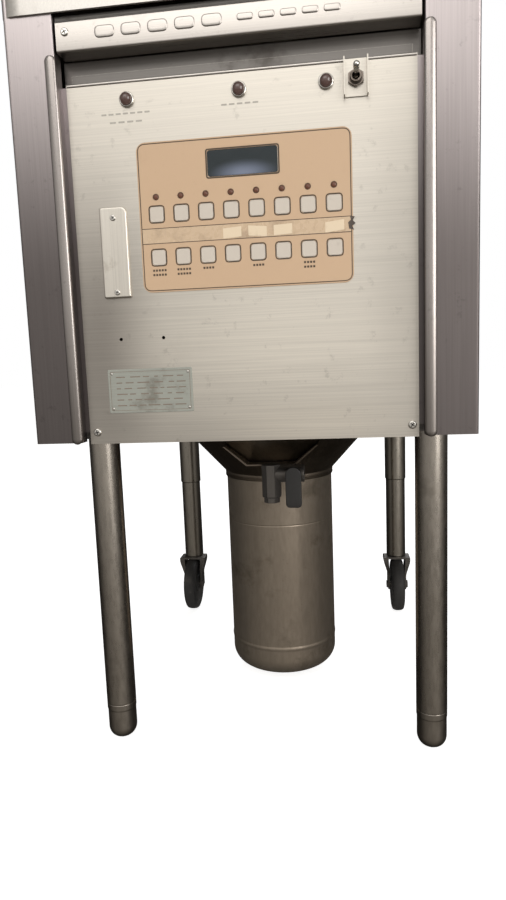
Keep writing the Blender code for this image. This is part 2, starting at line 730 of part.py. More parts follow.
def build_toggle():
    """The switch body with its bushing and nut, the bat lever in it, and the guard behind the nut."""
    nut_back = 2 * GAP + GUARD_THICK
    axis = (TOGGLE_X, PANEL_Y, CONTROL_Z)
    bushing = turned(
        "toggle_bushing",
        [
            (0, TOGGLE_BUSHING_PROUD),
            (TOGGLE_BUSHING_R - 0.0008, TOGGLE_BUSHING_PROUD),
            (TOGGLE_BUSHING_R, TOGGLE_BUSHING_PROUD - 0.0008),
            (TOGGLE_BUSHING_R, -SHEET - 0.001),
            (0.0072, -SHEET - 0.001),
            (0.0072, -0.022),
            (0, -0.022),
        ],
        axis,
        CHROME,
        FRONT_TO_BACK,
        steps=24,
    )
    nut = cylinder(
        "toggle_nut",
        TOGGLE_NUT_AF / math.sqrt(3),
        nut_back,
        nut_back + TOGGLE_NUT_THICK,
        axis,
        CHROME,
        FRONT_TO_BACK,
        6,
    )
    join(bushing, nut)
    bore = cylinder(
        "toggle_bore", TOGGLE_BUSHING_BORE_R, 0.001, 0.02, axis, None, FRONT_TO_BACK, 20
    )
    cut(bushing, bore)
    guard_y = PANEL_Y - GAP
    x_low, x_high = TOGGLE_X - GUARD_WIDTH / 2, TOGGLE_X + GUARD_WIDTH / 2
    guard = box(
        "switch_guard",
        (x_low, guard_y - GUARD_THICK, GUARD_BOTTOM_Z),
        (x_high, guard_y, GUARD_TOP_Z),
        STAINLESS,
    )
    for side, x in ((-1, x_low), (1, x_high - GUARD_THICK)):
        ear = box(
            f"guard_ear_{side}",
            (x, guard_y - GUARD_EAR, GUARD_BOTTOM_Z),
            (x + GUARD_THICK, guard_y - GUARD_THICK / 2, GUARD_TOP_Z),
            STAINLESS,
        )
        join(guard, ear)
    cut(guard, front_hole("guard_hole", TOGGLE_BUSHING_R + HOLE_CLEARANCE, TOGGLE_X, CONTROL_Z))
    tip, ball = TOGGLE_LEVER_TIP_R, 0.0029
    profile = [(0, TOGGLE_LEVER_LENGTH)]
    profile += arc((0, TOGGLE_LEVER_LENGTH - tip), tip, 72, 0, 4)
    profile += [(0.0017, 0.0037)]
    profile += arc((0, 0), ball, 50, -72, 5)
    profile += [(0, -ball)]
    tilt = Matrix.Rotation(math.radians(-TOGGLE_TILT_DEG), 4, "X") @ FRONT_TO_BACK
    pivot = (TOGGLE_X, PANEL_Y - TOGGLE_PIVOT_PROUD, CONTROL_Z)
    turned("toggle_lever", profile, pivot, CHROME, tilt, steps=16)


def build_cover_plate():
    """The small raised blanking plate left of the keypad."""
    half = COVER_WIDTH / 2
    box(
        "cover_plate",
        (COVER_X - half, PANEL_Y - GAP - COVER_PROUD, COVER_BOTTOM_Z),
        (COVER_X + half, PANEL_Y - GAP, COVER_TOP_Z),
        STAINLESS,
        bevel=0.0012,
    )


# ---------------------------------------------------------------- legs, feet and casters
def build_front_leg(name, side):
    bore = LEG_R - LEG_WALL
    top = UNDERSIDE_Z + GAP
    bottom = FOOT_TOP_Z + GAP
    profile = [(LEG_R, top), (LEG_R, bottom), (bore, bottom), (bore, top)]
    turned(name, profile, (side * LEG_X, FRONT_LEG_Y, 0), TUBE_STEEL, steps=32, closed=True)


def build_front_foot(name, side):
    """A bullet foot on a stem that screws up into the leg."""
    stem = LEG_R - LEG_WALL - FOOT_STEM_CLEARANCE
    nose = 0.013
    rounding = arc((FOOT_R - nose, nose), nose, 0, -70, 5)
    profile = [
        (0, FOOT_STEM_TOP_Z),
        (stem, FOOT_STEM_TOP_Z),
        (stem, FOOT_TOP_Z),
        (FOOT_R + 0.0006, FOOT_TOP_Z),
        (FOOT_R + 0.0006, FOOT_TOP_Z - 0.006),
        (FOOT_R, FOOT_TOP_Z - 0.008),
        *rounding,
        (FOOT_R - nose, 0),
        (0, 0),
    ]
    turned(name, profile, (side * LEG_X, FRONT_LEG_Y, 0), TUBE_STEEL, steps=32)


def build_rear_leg(name, side):
    """A sleeve under the cabinet with a slimmer tube in it that ends at the caster."""
    bore = REAR_LEG_R - LEG_WALL
    top = UNDERSIDE_Z + GAP
    bottom = CASTER_TOP_Z + GAP
    profile = [
        (REAR_SLEEVE_R, top),
        (REAR_SLEEVE_R, REAR_SLEEVE_BOTTOM_Z),
        (REAR_LEG_R, REAR_SLEEVE_BOTTOM_Z - 0.0005),
        (REAR_LEG_R, bottom),
        (bore, bottom),
        (bore, top),
    ]
    turned(name, profile, (side * LEG_X, REAR_LEG_Y, 0), TUBE_STEEL, steps=32, closed=True)


def build_caster(side_name, side):
    """A swivel fork with its stem and axle, and the wheel that runs between the cheeks."""
    x = side * LEG_X
    cheek = WHEEL_WIDTH / 2 + WHEEL_SIDE_CLEARANCE
    top_half = FORK_TOP_WIDTH / 2
    low = WHEEL_R - 0.009
    outline = [
        (-top_half, CASTER_TOP_Z),
        (-top_half, CASTER_TOP_Z - 0.009),
        (-cheek - FORK_THICK, WHEEL_R + 0.020),
        (-cheek - FORK_THICK, low),
        (-cheek, low),
        (-cheek, WHEEL_R + 0.022),
        (-cheek - 0.0015, CASTER_TOP_Z - 0.0035),
    ]
    outline += [(-px, pz) for px, pz in reversed(outline)]
    middle_y = REAR_LEG_Y - WHEEL_TRAIL / 2
    fork = flat_shape(
        "caster_fork_" + side_name, outline, FORK_DEPTH, (x, middle_y, 0), DARK_STEEL, FRONT_TO_BACK
    )
    stem = cylinder(
        "caster_stem_" + side_name,
        REAR_LEG_R - LEG_WALL - 0.0008,
        CASTER_TOP_Z - 0.002,
        CASTER_TOP_Z + 0.030,
        (x, REAR_LEG_Y, 0),
        DARK_STEEL,
        sides=24,
    )
    reach = cheek + FORK_THICK + 0.003
    axle = cylinder(
        "caster_axle_" + side_name,
        AXLE_R,
        -reach,
        reach,
        (x, CASTER_Y, WHEEL_R),
        DARK_STEEL,
        SIDE_TO_SIDE,
        16,
    )
    join(fork, stem, axle)
    half = WHEEL_WIDTH / 2
    bore = AXLE_R + AXLE_CLEARANCE
    crown_half = half * 0.62
    profile = [
        (bore, half),
        (0.015, half),
        (0.017, half - 0.004),
        (0.034, half - 0.004),
        (0.036, half - 0.001),
        (WHEEL_R - 0.005, half - 0.001),
        (WHEEL_R - 0.001, crown_half),
        (WHEEL_R, 0),
        (WHEEL_R - 0.001, -crown_half),
        (WHEEL_R - 0.005, -half + 0.001),
        (0.036, -half + 0.001),
        (0.034, -half + 0.004),
        (0.017, -half + 0.004),
        (0.015, -half),
        (bore, -half),
    ]
    turned(
        "caster_wheel_" + side_name,
        profile,
        (x, CASTER_Y, WHEEL_R),
        TYRE_RUBBER,
        SIDE_TO_SIDE,
        steps=36,
        closed=True,
    )


# ---------------------------------------------------------------- vessel, skirt and collector
def skirt_radius(z):
    return SKIRT_NECK_R + CONE_SLOPE * (z - SKIRT_BOTTOM_Z)


def build_vessel():
    """The pressure vessel: flange, straight wall, cone and neck, turned as one wall."""
    inner = VESSEL_R - VESSEL_WALL
    neck_in = NECK_R - VESSEL_WALL
    cone_bottom_z = VESSEL_CONE_TOP_Z - (VESSEL_R - NECK_R) / CONE_SLOPE
    profile = [
        (VESSEL_FLANGE_R, FLANGE_TOP_Z),
        (VESSEL_FLANGE_R, FLANGE_BOTTOM_Z),
        (VESSEL_R, FLANGE_BOTTOM_Z),
        (VESSEL_R, VESSEL_CONE_TOP_Z),
        (NECK_R, cone_bottom_z),
        (NECK_R, NECK_BOTTOM_Z),
        (neck_in, NECK_BOTTOM_Z),
        (neck_in, cone_bottom_z + 0.001),
        (inner, VESSEL_CONE_TOP_Z + 0.001),
        (inner, FLANGE_TOP_Z),
    ]
    turned("fry_vessel", profile, (0, VESSEL_Y, 0), POT_STEEL, steps=56, closed=True)


def build_skirt():
    """The sheet cone round the vessel's cone, with the drain chute let into its front."""
    thin = SHEET
    top = SKIRT_TOP_Z
    profile = [
        (skirt_radius(top), top),
        (skirt_radius(SKIRT_BOTTOM_Z), SKIRT_BOTTOM_Z),
        (skirt_radius(SKIRT_BOTTOM_Z) - thin, SKIRT_BOTTOM_Z),
        (skirt_radius(top) - thin, top),
    ]
    skirt = turned("vessel_skirt", profile, (0, VESSEL_Y, 0), POT_STEEL, steps=48, closed=True)
    slope = (CHUTE_TOP_HALF - CHUTE_BOTTOM_HALF) / (CHUTE_TOP_Z - CHUTE_BOTTOM_Z)
    inset, rise = 0.0008, 0.012
    opening = [
        (-CHUTE_TOP_HALF - rise * slope + inset, CHUTE_TOP_Z + rise),
        (-CHUTE_BOTTOM_HALF + inset, CHUTE_BOTTOM_Z + inset),
        (CHUTE_BOTTOM_HALF - inset, CHUTE_BOTTOM_Z + inset),
        (CHUTE_TOP_HALF + rise * slope - inset, CHUTE_TOP_Z + rise),
    ]
    tool = flat_shape("chute_opening", opening, 0.080, (0, CHUTE_Y, 0), None, FRONT_TO_BACK)
    cut(skirt, tool)
    lean = CHUTE_SHEET * 1.3
    trough = [
        (-CHUTE_TOP_HALF, CHUTE_TOP_Z),
        (-CHUTE_BOTTOM_HALF, CHUTE_BOTTOM_Z),
        (CHUTE_BOTTOM_HALF, CHUTE_BOTTOM_Z),
        (CHUTE_TOP_HALF, CHUTE_TOP_Z),
        (CHUTE_TOP_HALF + lean, CHUTE_TOP_Z),
        (CHUTE_BOTTOM_HALF + lean / 2, CHUTE_BOTTOM_Z - CHUTE_SHEET),
        (-CHUTE_BOTTOM_HALF - lean / 2, CHUTE_BOTTOM_Z - CHUTE_SHEET),
        (-CHUTE_TOP_HALF - lean, CHUTE_TOP_Z),
    ]
    depth = 0.060
    chute = flat_shape(
        "drain_chute", trough, depth, (0, CHUTE_Y + depth / 2, 0), POT_STEEL, FRONT_TO_BACK
    )
    low, high = CHUTE_BOTTOM_Z - 0.02, CHUTE_TOP_Z + 0.02
    core = turned(
        "chute_core",
        [
            (0, high),
            (skirt_radius(high) - thin / 2, high),
            (skirt_radius(low) - thin / 2, low),
            (0, low),
        ],
        (0, VESSEL_Y, 0),
        None,
        steps=48,
    )
    cut(chute, core)
    join(skirt, chute)


def build_collector():
    """A deep round pot with a nearly flat bottom, a weld ring, and a plain top edge."""
    r, k, b = COLLECTOR_R, COLLECTOR_KNUCKLE, COLLECTOR_BOTTOM_Z
    inner, ki, bi = r - COLLECTOR_WALL, k - COLLECTOR_WALL, b + COLLECTOR_WALL
    ring = WELD_RING_PROUD
    profile = [
        (0, bi),
        *reversed(arc((inner - ki, bi + ki), ki, 0, -90, 6)),
        (inner, COLLECTOR_TOP_Z),
        (r, COLLECTOR_TOP_Z),
        (r, WELD_RING_Z + 0.003),
        (r + ring, WELD_RING_Z + 0.001),
        (r + ring, WELD_RING_Z - 0.001),
        (r, WELD_RING_Z - 0.003),
        *arc((r - k, b + k), k, 0, -90, 6),
        (0, b),
    ]
    turned("collector", profile, (0, VESSEL_Y, 0), POT_STEEL, steps=48)
    low, high = COLLECTOR_TOP_Z + GAP, SKIRT_BOTTOM_Z - GAP
    inside_low = NECK_R + 2 * GAP
    inside_high = VESSEL_R - CONE_SLOPE * (VESSEL_CONE_TOP_Z - high) + 2 * GAP
    band = [(CLAMP_R, high), (CLAMP_R, low), (inside_low, low), (inside_high, high)]
    turned("collector_clamp", band, (0, VESSEL_Y, 0), STAINLESS, steps=48, closed=True)


# ---------------------------------------------------------------- drain valve
def build_drain_valve():
    """A ball valve lying across the chute, its outlet elbow turned down, and a hanging lever."""
    mouth_top = SPOUT_BOTTOM_Z + SPOUT_MOUTH
    valve = turned(
        "drain_valve",
        [
            (0, VALVE_Z + 0.012),
            (SPOUT_R * 1.04, VALVE_Z + 0.012),
            (SPOUT_R * 1.04, mouth_top),
            (SPOUT_R * 0.86, mouth_top - 0.001),
            (SPOUT_R * 0.86, SPOUT_BOTTOM_Z),
            (SPOUT_R * 0.68, SPOUT_BOTTOM_Z),
            (SPOUT_R * 0.68, SPOUT_BOTTOM_Z + 0.018),
            (0, SPOUT_BOTTOM_Z + 0.018),
        ],
        (SPOUT_X, VALVE_Y, 0),
        DARK_STEEL,
        Matrix.Rotation(math.radians(22.5), 4, "Z"),
        steps=8,
    )
    body = cylinder(
        "valve_body",
        VALVE_BODY_R,
        SPOUT_X,
        STEM_X + 0.014,
        (0, VALVE_Y, VALVE_Z - 0.001),
        DARK_STEEL,
        SIDE_TO_SIDE,
        24,
    )
    inlet_x = STEM_X - 0.004
    cone = skirt_radius(VALVE_Z + VALVE_INLET_R)
    inlet_back = VESSEL_Y - math.sqrt(cone**2 - (inlet_x - VALVE_INLET_R) ** 2) - 2 * GAP
    inlet = cylinder(
        "valve_inlet",
        VALVE_INLET_R,
        -inlet_back,
        -VALVE_Y,
        (inlet_x, 0, VALVE_Z - 0.001),
        DARK_STEEL,
        FRONT_TO_BACK,
        20,
    )
    stem = cylinder(
        "valve_stem",
        0.005,
        -VALVE_Y,
        -VALVE_Y + VALVE_BODY_R + 0.004,
        (STEM_X, 0, VALVE_Z),
        DARK_STEEL,
        FRONT_TO_BACK,
        16,
    )
    join(valve, body, inlet, stem)
    half = HANDLE_WIDTH / 2
    outline = [
        *arc((0, 0), half, 0, 180, 8),
        *arc((-half + 0.004, -HANDLE_LENGTH + 0.004), 0.004, 180, 270, 3),
        *arc((half - 0.004, -HANDLE_LENGTH + 0.004), 0.004, 270, 360, 3),
    ]
    handle_y = VALVE_Y - VALVE_BODY_R - 0.004 - GAP - HANDLE_THICK / 2
    handle = flat_shape(
        "drain_handle", outline, HANDLE_THICK, (STEM_X, handle_y, VALVE_Z), BLACK_PLASTIC, FRONT_TO_BACK
    )
    soften(handle, 0.0012, 2)


# ---------------------------------------------------------------- lid, arm, spindle and latch
def build_lid():
    """A dished disc with a boss for the spindle, and the seal in its underside."""
    rim_top = LID_BOTTOM_Z + LID_RIM
    dome_steps = 6
    dome = []
    for i in range(dome_steps + 1):
        share = i / dome_steps
        r = LID_BOSS_R + (LID_R - LID_RIM_STEP - LID_BOSS_R) * share
        dome.append((r, rim_top + LID_DOME * math.cos(share * math.pi / 2)))
    profile = [
        (0, LID_BOSS_TOP_Z),
        (LID_BOSS_R - 0.004, LID_BOSS_TOP_Z),
        (LID_BOSS_R, LID_BOSS_TOP_Z - 0.004),
        *dome,
        (LID_R - 0.002, rim_top),
        (LID_R, rim_top - 0.002),
        (LID_R, LID_BOTTOM_Z),
        (0, LID_BOTTOM_Z),
    ]
    turned("lid", profile, (0, VESSEL_Y, 0), CAST_ALUMINIUM, steps=56)
    outer, inner = VESSEL_FLANGE_R - GASKET_INSET, VESSEL_R - VESSEL_WALL + 0.001
    low, high = GASKET_BOTTOM_Z, GASKET_BOTTOM_Z + GASKET_THICK
    seal = [(outer, high), (outer, low), (inner, low), (inner, high)]
    turned("lid_gasket", seal, (0, VESSEL_Y, 0), SEAL_RUBBER, steps=56, closed=True)


def build_lid_arm():
    """The crossbar over the lid: hinge eye behind, boss for the spindle, narrow nose in front."""
    half = ARM_WIDTH / 2
    arm = box(
        "lid_arm",
        (-half, ARM_NOSE_Y + ARM_NOSE_LENGTH, ARM_BOTTOM_Z),
        (half, HINGE_Y - HINGE_EYE_R * 0.4, ARM_TOP_Z),
        CAST_ALUMINIUM,
        bevel=0.004,
    )
    eye = cylinder(
        "arm_eye", HINGE_EYE_R, -half, half, (0, HINGE_Y, HINGE_Z), CAST_ALUMINIUM, SIDE_TO_SIDE, 28
    )
    boss = cylinder(
        "arm_boss",
        ARM_BOSS_R,
        ARM_BOTTOM_Z - 0.001,
        ARM_TOP_Z + ARM_BOSS_RISE,
        (0, VESSEL_Y, 0),
        CAST_ALUMINIUM,
        sides=32,
    )
    nose = box(
        "arm_nose",
        (-ARM_NOSE_WIDTH / 2, ARM_NOSE_Y, ARM_BOTTOM_Z + 0.001),
        (ARM_NOSE_WIDTH / 2, ARM_NOSE_Y + ARM_NOSE_LENGTH * 1.5, ARM_TOP_Z - 0.001),
        CAST_ALUMINIUM,
        bevel=0.002,
    )
    join(arm, eye, boss, nose)
    pin_hole = cylinder(
        "arm_pin_hole",
        HINGE_PIN_R + SPINDLE_CLEARANCE,
        -0.05,
        0.05,
        (0, HINGE_Y, HINGE_Z),
        None,
        SIDE_TO_SIDE,
        24,
    )
    screw_hole = cylinder(
        "arm_screw_hole", SPINDLE_R + SPINDLE_CLEARANCE, 0.9, 1.0, (0, VESSEL_Y, 0), None, sides=24
    )
    cut(arm, pin_hole, screw_hole)


def build_spindle():
    """The pressing screw and its handwheel: hub, spokes and a round rim."""
    low = LID_BOSS_TOP_Z + GAP
    spindle = turned(
        "spindle_handwheel",
        [
            (0, HANDWHEEL_Z + 0.016),
            (WHEEL_HUB_R - 0.006, HANDWHEEL_Z + 0.016),
            (WHEEL_HUB_R, HANDWHEEL_Z + 0.010),
            (WHEEL_HUB_R, HANDWHEEL_Z - 0.014),
            (SPINDLE_R, HANDWHEEL_Z - 0.018),
            (SPINDLE_R, low),
            (0, low),
        ],
        (0, VESSEL_Y, 0),
        BLACK_PLASTIC,
        steps=24,
    )
    ring = []
    for i in range(40):
        angle = math.tau * i / 40
        ring.append((HANDWHEEL_R * math.cos(angle), VESSEL_Y + HANDWHEEL_R * math.sin(angle), HANDWHEEL_Z))
    rim = tube("handwheel_rim", ring, HANDWHEEL_RIM_R, BLACK_PLASTIC, closed=True, resolution=2)
    pieces = [rim]
    for i in range(HANDWHEEL_SPOKES):
        turn = Matrix.Rotation(math.tau * (i + 0.5) / HANDWHEEL_SPOKES, 4, "Z") @ SIDE_TO_SIDE
        pieces.append(
            cylinder(
                f"handwheel_spoke_{i}",
                0.006,
                WHEEL_HUB_R * 0.5,
                HANDWHEEL_R,
                (0, VESSEL_Y, HANDWHEEL_Z),
                BLACK_PLASTIC,
                turn,
                12,
            )
        )
    join(spindle, *pieces)


def build_hinge_bracket():
    """A bolted foot with two ears, and the pin through both."""
    inner = ARM_WIDTH / 2 + HINGE_SIDE_CLEARANCE
    outer = inner + HINGE_EAR_THICK
    foot_bottom = DECK_TOP_Z + GAP
    bracket = box(
        "lid_hinge_bracket",
        (-outer - 0.012, HINGE_Y - 0.004, foot_bottom),
        (outer + 0.012, HINGE_Y + 0.045, foot_bottom + 0.006),
        STAINLESS,
    )
    for side in (-1, 1):
        spans = sorted((side * inner, side * outer))
        ear = flat_shape(
            f"hinge_ear_{side}",
            [
                (HINGE_Y - 0.003, foot_bottom + 0.002),
                (HINGE_Y + 0.040, foot_bottom + 0.002),
                *arc((HINGE_Y, HINGE_Z), 0.014, 20, 200, 8),
            ],
            HINGE_EAR_THICK,
            (sum(spans) / 2, 0, 0),
            STAINLESS,
            ACROSS,
        )
        join(bracket, ear)
    reach = outer + 0.004
    pin = cylinder(
        "hinge_pin", HINGE_PIN_R, -reach, reach, (0, HINGE_Y, HINGE_Z), STAINLESS, SIDE_TO_SIDE, 24
    )
    join(bracket, pin)


def build_latch_bracket():
    """A foot on the deck with two round-topped ears, and the pin that the latch swings on."""
    inner = LATCH_WIDTH / 2 + LATCH_SIDE_CLEARANCE
    outer = inner + LATCH_EAR_THICK
    foot_bottom = DECK_TOP_Z + GAP
    foot_top = foot_bottom + LATCH_FOOT_THICK
    bracket = box(
        "latch_bracket",
        (-outer - LATCH_FOOT_MARGIN, LATCH_Y - LATCH_EAR_R - 0.003, foot_bottom),
        (outer + LATCH_FOOT_MARGIN, LATCH_Y + LATCH_EAR_R + 0.003, foot_top),
        STAINLESS,
    )
    for side in (-1, 1):
        ear = flat_shape(
            f"latch_ear_{side}",
            [
                (LATCH_Y - LATCH_EAR_R, foot_top - 0.001),
                (LATCH_Y + LATCH_EAR_R, foot_top - 0.001),
                *arc((LATCH_Y, LATCH_Z), LATCH_EAR_R, 0, 180, 10),
            ],
            LATCH_EAR_THICK,
            (side * (inner + outer) / 2, 0, 0),
            STAINLESS,
            ACROSS,
        )
        join(bracket, ear)
    reach = inner + LATCH_EAR_THICK / 2
    pin = cylinder(
        "latch_pin", LATCH_PIN_R, -reach, reach, (0, LATCH_Y, LATCH_Z), STAINLESS, SIDE_TO_SIDE, 16
    )
    join(bracket, pin)


def build_latch():
    """The hooked lever that holds the arm's nose down, drawn swung forward, clear of the arm."""
    nose = ARM_NOSE_Y - LATCH_NOSE_GAP - LATCH_Y
    over = ARM_TOP_Z + LATCH_LIFT - LATCH_Z
    outline = [
        *arc((0, 0), 0.008, 180, 360, 8),
        (0.008, over - 0.020),
        (nose, over - 0.012),
        (nose, over),
        (nose + LATCH_LIP, over),
        (nose + LATCH_LIP, over + LATCH_LIP_THICK),
        (0.006, over + LATCH_LIP_THICK),
        (0.000, over + LATCH_GRIP),
        (-0.010, over + LATCH_GRIP),
        (-0.008, over),
    ]
    swing = Matrix.Rotation(math.radians(LATCH_OPEN_DEG), 4, "X") @ ACROSS
    latch = flat_shape(
        "front_latch", outline, LATCH_WIDTH, (0, LATCH_Y, LATCH_Z), STAINLESS, swing
    )
    hole = cylinder(
        "latch_hole", LATCH_PIN_R + 0.0004, -0.03, 0.03, (0, LATCH_Y, LATCH_Z), None, SIDE_TO_SIDE, 20
    )
    cut(latch, hole)


# ---------------------------------------------------------------- rear of the deck
def build_exhaust_riser():
    """The rear riser that carries the exhaust up and away: a sheet box with an open grille on top."""
    half = RISER_WIDTH / 2
    low = DECK_TOP_Z + GAP
    riser = box(
        "exhaust_riser",
        (-half, RISER_FRONT_Y, low),
        (half, RISER_BACK_Y, RISER_TOP_Z),
        STAINLESS,
        bevel=0.001,
        segments=1,
    )
    hollow = box(
        "riser_hollow",
        (-half + DECK_SHEET, RISER_FRONT_Y + DECK_SHEET, low - 0.01),
        (half - DECK_SHEET, RISER_BACK_Y - DECK_SHEET, RISER_TOP_Z - DECK_SHEET),
        None,
    )
    cut(riser, hollow)
    slots = 7
    for i in range(slots):
        x = (i - (slots - 1) / 2) * 0.040
        slot = box(
            f"riser_slot_{i}",
            (x - 0.013, RISER_FRONT_Y + 0.018, RISER_TOP_Z - 0.02),
            (x + 0.013, RISER_BACK_Y - 0.018, RISER_TOP_Z + 0.02),
            None,
        )
        cut(riser, slot)


def build_gauge_and_relief():
    foot = DECK_TOP_Z + GAP
    gauge = turned(
        "pressure_gauge",
        [
            (0, 0.014),
            (GAUGE_R - 0.004, 0.014),
            (GAUGE_R - 0.004, 0.012),
            (GAUGE_R - 0.003, 0.016),
            (GAUGE_R, 0.013),
            (GAUGE_R, -0.013),
            (GAUGE_R - 0.003, -0.016),
            (0, -0.016),
        ],
        (GAUGE_X, FITTINGS_Y, GAUGE_Z),
        STAINLESS,
        FRONT_TO_BACK,
        steps=32,
    )
    stand = turned(
        "gauge_stand",
        [
            (0, GAUGE_Z - GAUGE_R + 0.006),
            (0.007, GAUGE_Z - GAUGE_R + 0.006),
            (0.007, foot + 0.012),
            (0.013, foot + 0.012),
            (0.013, foot),
            (0, foot),
        ],
        (GAUGE_X, FITTINGS_Y, 0),
        BRASS,
        steps=20,
    )
    join(gauge, stand)
    turned(
        "relief_valve",
        [
            (0, foot + 0.078),
            (0.009, foot + 0.078),
            (0.011, foot + 0.074),
            (0.011, foot + 0.052),
            (0.017, foot + 0.050),
            (0.017, foot + 0.022),
            (0.010, foot + 0.020),
            (0.010, foot + 0.012),
            (0.015, foot + 0.012),
            (0.015, foot),
            (0, foot),
        ],
        (VALVE_X, FITTINGS_Y, 0),
        BRASS,
        steps=24,
    )


build_base_frame()
build_side_panel("left_side_panel", -1)
build_side_panel("right_side_panel", 1)
build_back_panel()
build_top_deck()
build_header()
build_edge_trim("left_edge_trim", -1)
build_edge_trim("right_edge_trim", 1)
build_control_panel()
build_keypad()
for lamp_name, lamp_x in LAMPS_X.items():
    build_lamp("lamp_" + lamp_name, lamp_x)
build_toggle()
build_cover_plate()
for side_name, side in (("left", -1), ("right", 1)):
    build_front_leg("front_leg_" + side_name, side)
    build_front_foot("front_foot_" + side_name, side)
    build_rear_leg("rear_leg_" + side_name, side)
    build_caster(side_name, side)
build_vessel()
build_skirt()
build_collector()
build_drain_valve()
build_lid()
build_lid_arm()
build_spindle()
build_hinge_bracket()
build_latch_bracket()
build_latch()
build_exhaust_riser()
build_gauge_and_relief()
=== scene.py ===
# %% [markdown]
# # A pressure fryer that has worked for years
# The machine is a steel cabinet on legs with a recessed control panel, and a cone and a deep crumb pot
# hanging below it. The solid model already has every part in its true place, so this lesson only adds
# what the eye looks for: rolled edges, smooth turned parts, a printed keypad, screws, and steel that is
# brushed, soiled and stained. We load the solid model first and note its box, since nothing may grow.
# %% Load the frame
import json
import math

import bmesh
import bpy
import numpy as np
from mathutils import Matrix, Vector


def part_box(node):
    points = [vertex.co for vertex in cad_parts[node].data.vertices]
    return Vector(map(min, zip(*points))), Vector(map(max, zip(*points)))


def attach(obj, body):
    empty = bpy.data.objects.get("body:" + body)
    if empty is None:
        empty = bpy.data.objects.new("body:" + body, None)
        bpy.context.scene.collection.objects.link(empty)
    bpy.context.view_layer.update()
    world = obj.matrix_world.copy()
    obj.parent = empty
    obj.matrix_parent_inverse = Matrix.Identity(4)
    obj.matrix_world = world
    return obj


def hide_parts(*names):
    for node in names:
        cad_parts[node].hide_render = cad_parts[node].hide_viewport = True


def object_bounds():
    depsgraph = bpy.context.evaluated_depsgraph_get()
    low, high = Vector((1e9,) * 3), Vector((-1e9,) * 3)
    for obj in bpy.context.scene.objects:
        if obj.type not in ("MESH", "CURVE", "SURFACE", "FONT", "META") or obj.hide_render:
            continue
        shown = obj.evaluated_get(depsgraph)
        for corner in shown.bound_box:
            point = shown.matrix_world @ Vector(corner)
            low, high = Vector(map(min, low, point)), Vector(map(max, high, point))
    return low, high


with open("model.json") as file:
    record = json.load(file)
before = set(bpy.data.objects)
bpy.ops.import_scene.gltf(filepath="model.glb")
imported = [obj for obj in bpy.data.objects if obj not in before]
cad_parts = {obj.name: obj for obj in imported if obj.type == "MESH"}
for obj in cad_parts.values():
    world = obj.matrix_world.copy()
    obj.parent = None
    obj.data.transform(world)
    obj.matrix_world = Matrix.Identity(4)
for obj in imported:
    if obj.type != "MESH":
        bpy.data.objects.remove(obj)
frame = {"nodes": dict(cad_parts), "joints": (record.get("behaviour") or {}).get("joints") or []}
nodes = frame["nodes"]
cad_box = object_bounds()
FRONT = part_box("left_side_panel")[0].y
PANEL_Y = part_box("control_panel")[0].y

# %% [markdown]
# ## Shared effects
# Three effects turn up in most of these finishes, so each is a node group with its own sockets. *Grain*
# is the fine scratching that brushing leaves: noise squeezed along one direction. *Soil* is a patchy mask
# for grease, made from two sizes of noise and pushed to black and white by a range. *Rise* is a mask that
# goes from 0 to 1 between two heights; parts turn darker below it, which on the posts is painted shade.
# %% Node helpers
FLOAT, VECTOR = "NodeSocketFloat", "NodeSocketVector"


def new_group(name, inputs, outputs):
    """An empty node group with named sockets, given as (name, socket type, default)."""
    group = bpy.data.node_groups.new(name, "ShaderNodeTree")
    for label, kind, value in inputs:
        socket = group.interface.new_socket(name=label, in_out="INPUT", socket_type=kind)
        if value is not None:
            socket.default_value = value
    for label, kind in outputs:
        group.interface.new_socket(name=label, in_out="OUTPUT", socket_type=kind)
    return group, group.nodes.new("NodeGroupInput"), group.nodes.new("NodeGroupOutput")


def add(tree, kind, links=(), **values):
    """A node with its inputs linked from sockets and its other settings given by name."""
    node = tree.nodes.new(kind)
    for key, value in values.items():
        if hasattr(node, key):
            setattr(node, key, value)
        else:
            node.inputs[key.replace("_", " ")].default_value = value
    for key, source in dict(links).items():
        tree.links.new(source, node.inputs[key])
    return node


def ranged(tree, source, low, high, to_low=0.0, to_high=1.0, smooth=True):
    """A value moved from one range to another; low and high may be sockets or numbers."""
    node = tree.nodes.new("ShaderNodeMapRange")
    node.interpolation_type = "SMOOTHSTEP" if smooth else "LINEAR"
    tree.links.new(source, node.inputs["Value"])
    for key, value in (("From Min", low), ("From Max", high), ("To Min", to_low), ("To Max", to_high)):
        if isinstance(value, bpy.types.NodeSocket):
            tree.links.new(value, node.inputs[key])
        else:
            node.inputs[key].default_value = value
    return node.outputs["Result"]


def blended(tree, factor, first, second, how="MIX"):
    """Two colours mixed by a factor; each may be a socket or a colour."""
    node = tree.nodes.new("ShaderNodeMix")
    node.data_type, node.blend_type = "RGBA", how
    for key, value in (("Factor", factor), ("A", first), ("B", second)):
        target = [s for s in node.inputs if s.name == key and (key == "Factor" or s.type == "RGBA")][0]
        if isinstance(value, bpy.types.NodeSocket):
            tree.links.new(value, target)
        elif key == "Factor":
            target.default_value = value
        else:
            target.default_value = (*value, 1.0)
    return [s for s in node.outputs if s.type == "RGBA"][0]


def vector_maths(tree, operation, *sources):
    """A vector sum of the sockets given, in their order."""
    node = tree.nodes.new("ShaderNodeVectorMath")
    node.operation = operation
    for slot, source in enumerate(sources):
        tree.links.new(source, node.inputs[slot])
    return node


def maths(tree, operation, first, second=0.0):
    """A sum of two numbers; each may be a socket or a value."""
    node = tree.nodes.new("ShaderNodeMath")
    node.operation = operation
    for slot, value in enumerate((first, second)):
        if isinstance(value, bpy.types.NodeSocket):
            tree.links.new(value, node.inputs[slot])
        else:
            node.inputs[slot].default_value = value
    return node.outputs[0]


# %% The Grain, Soil and Rise groups


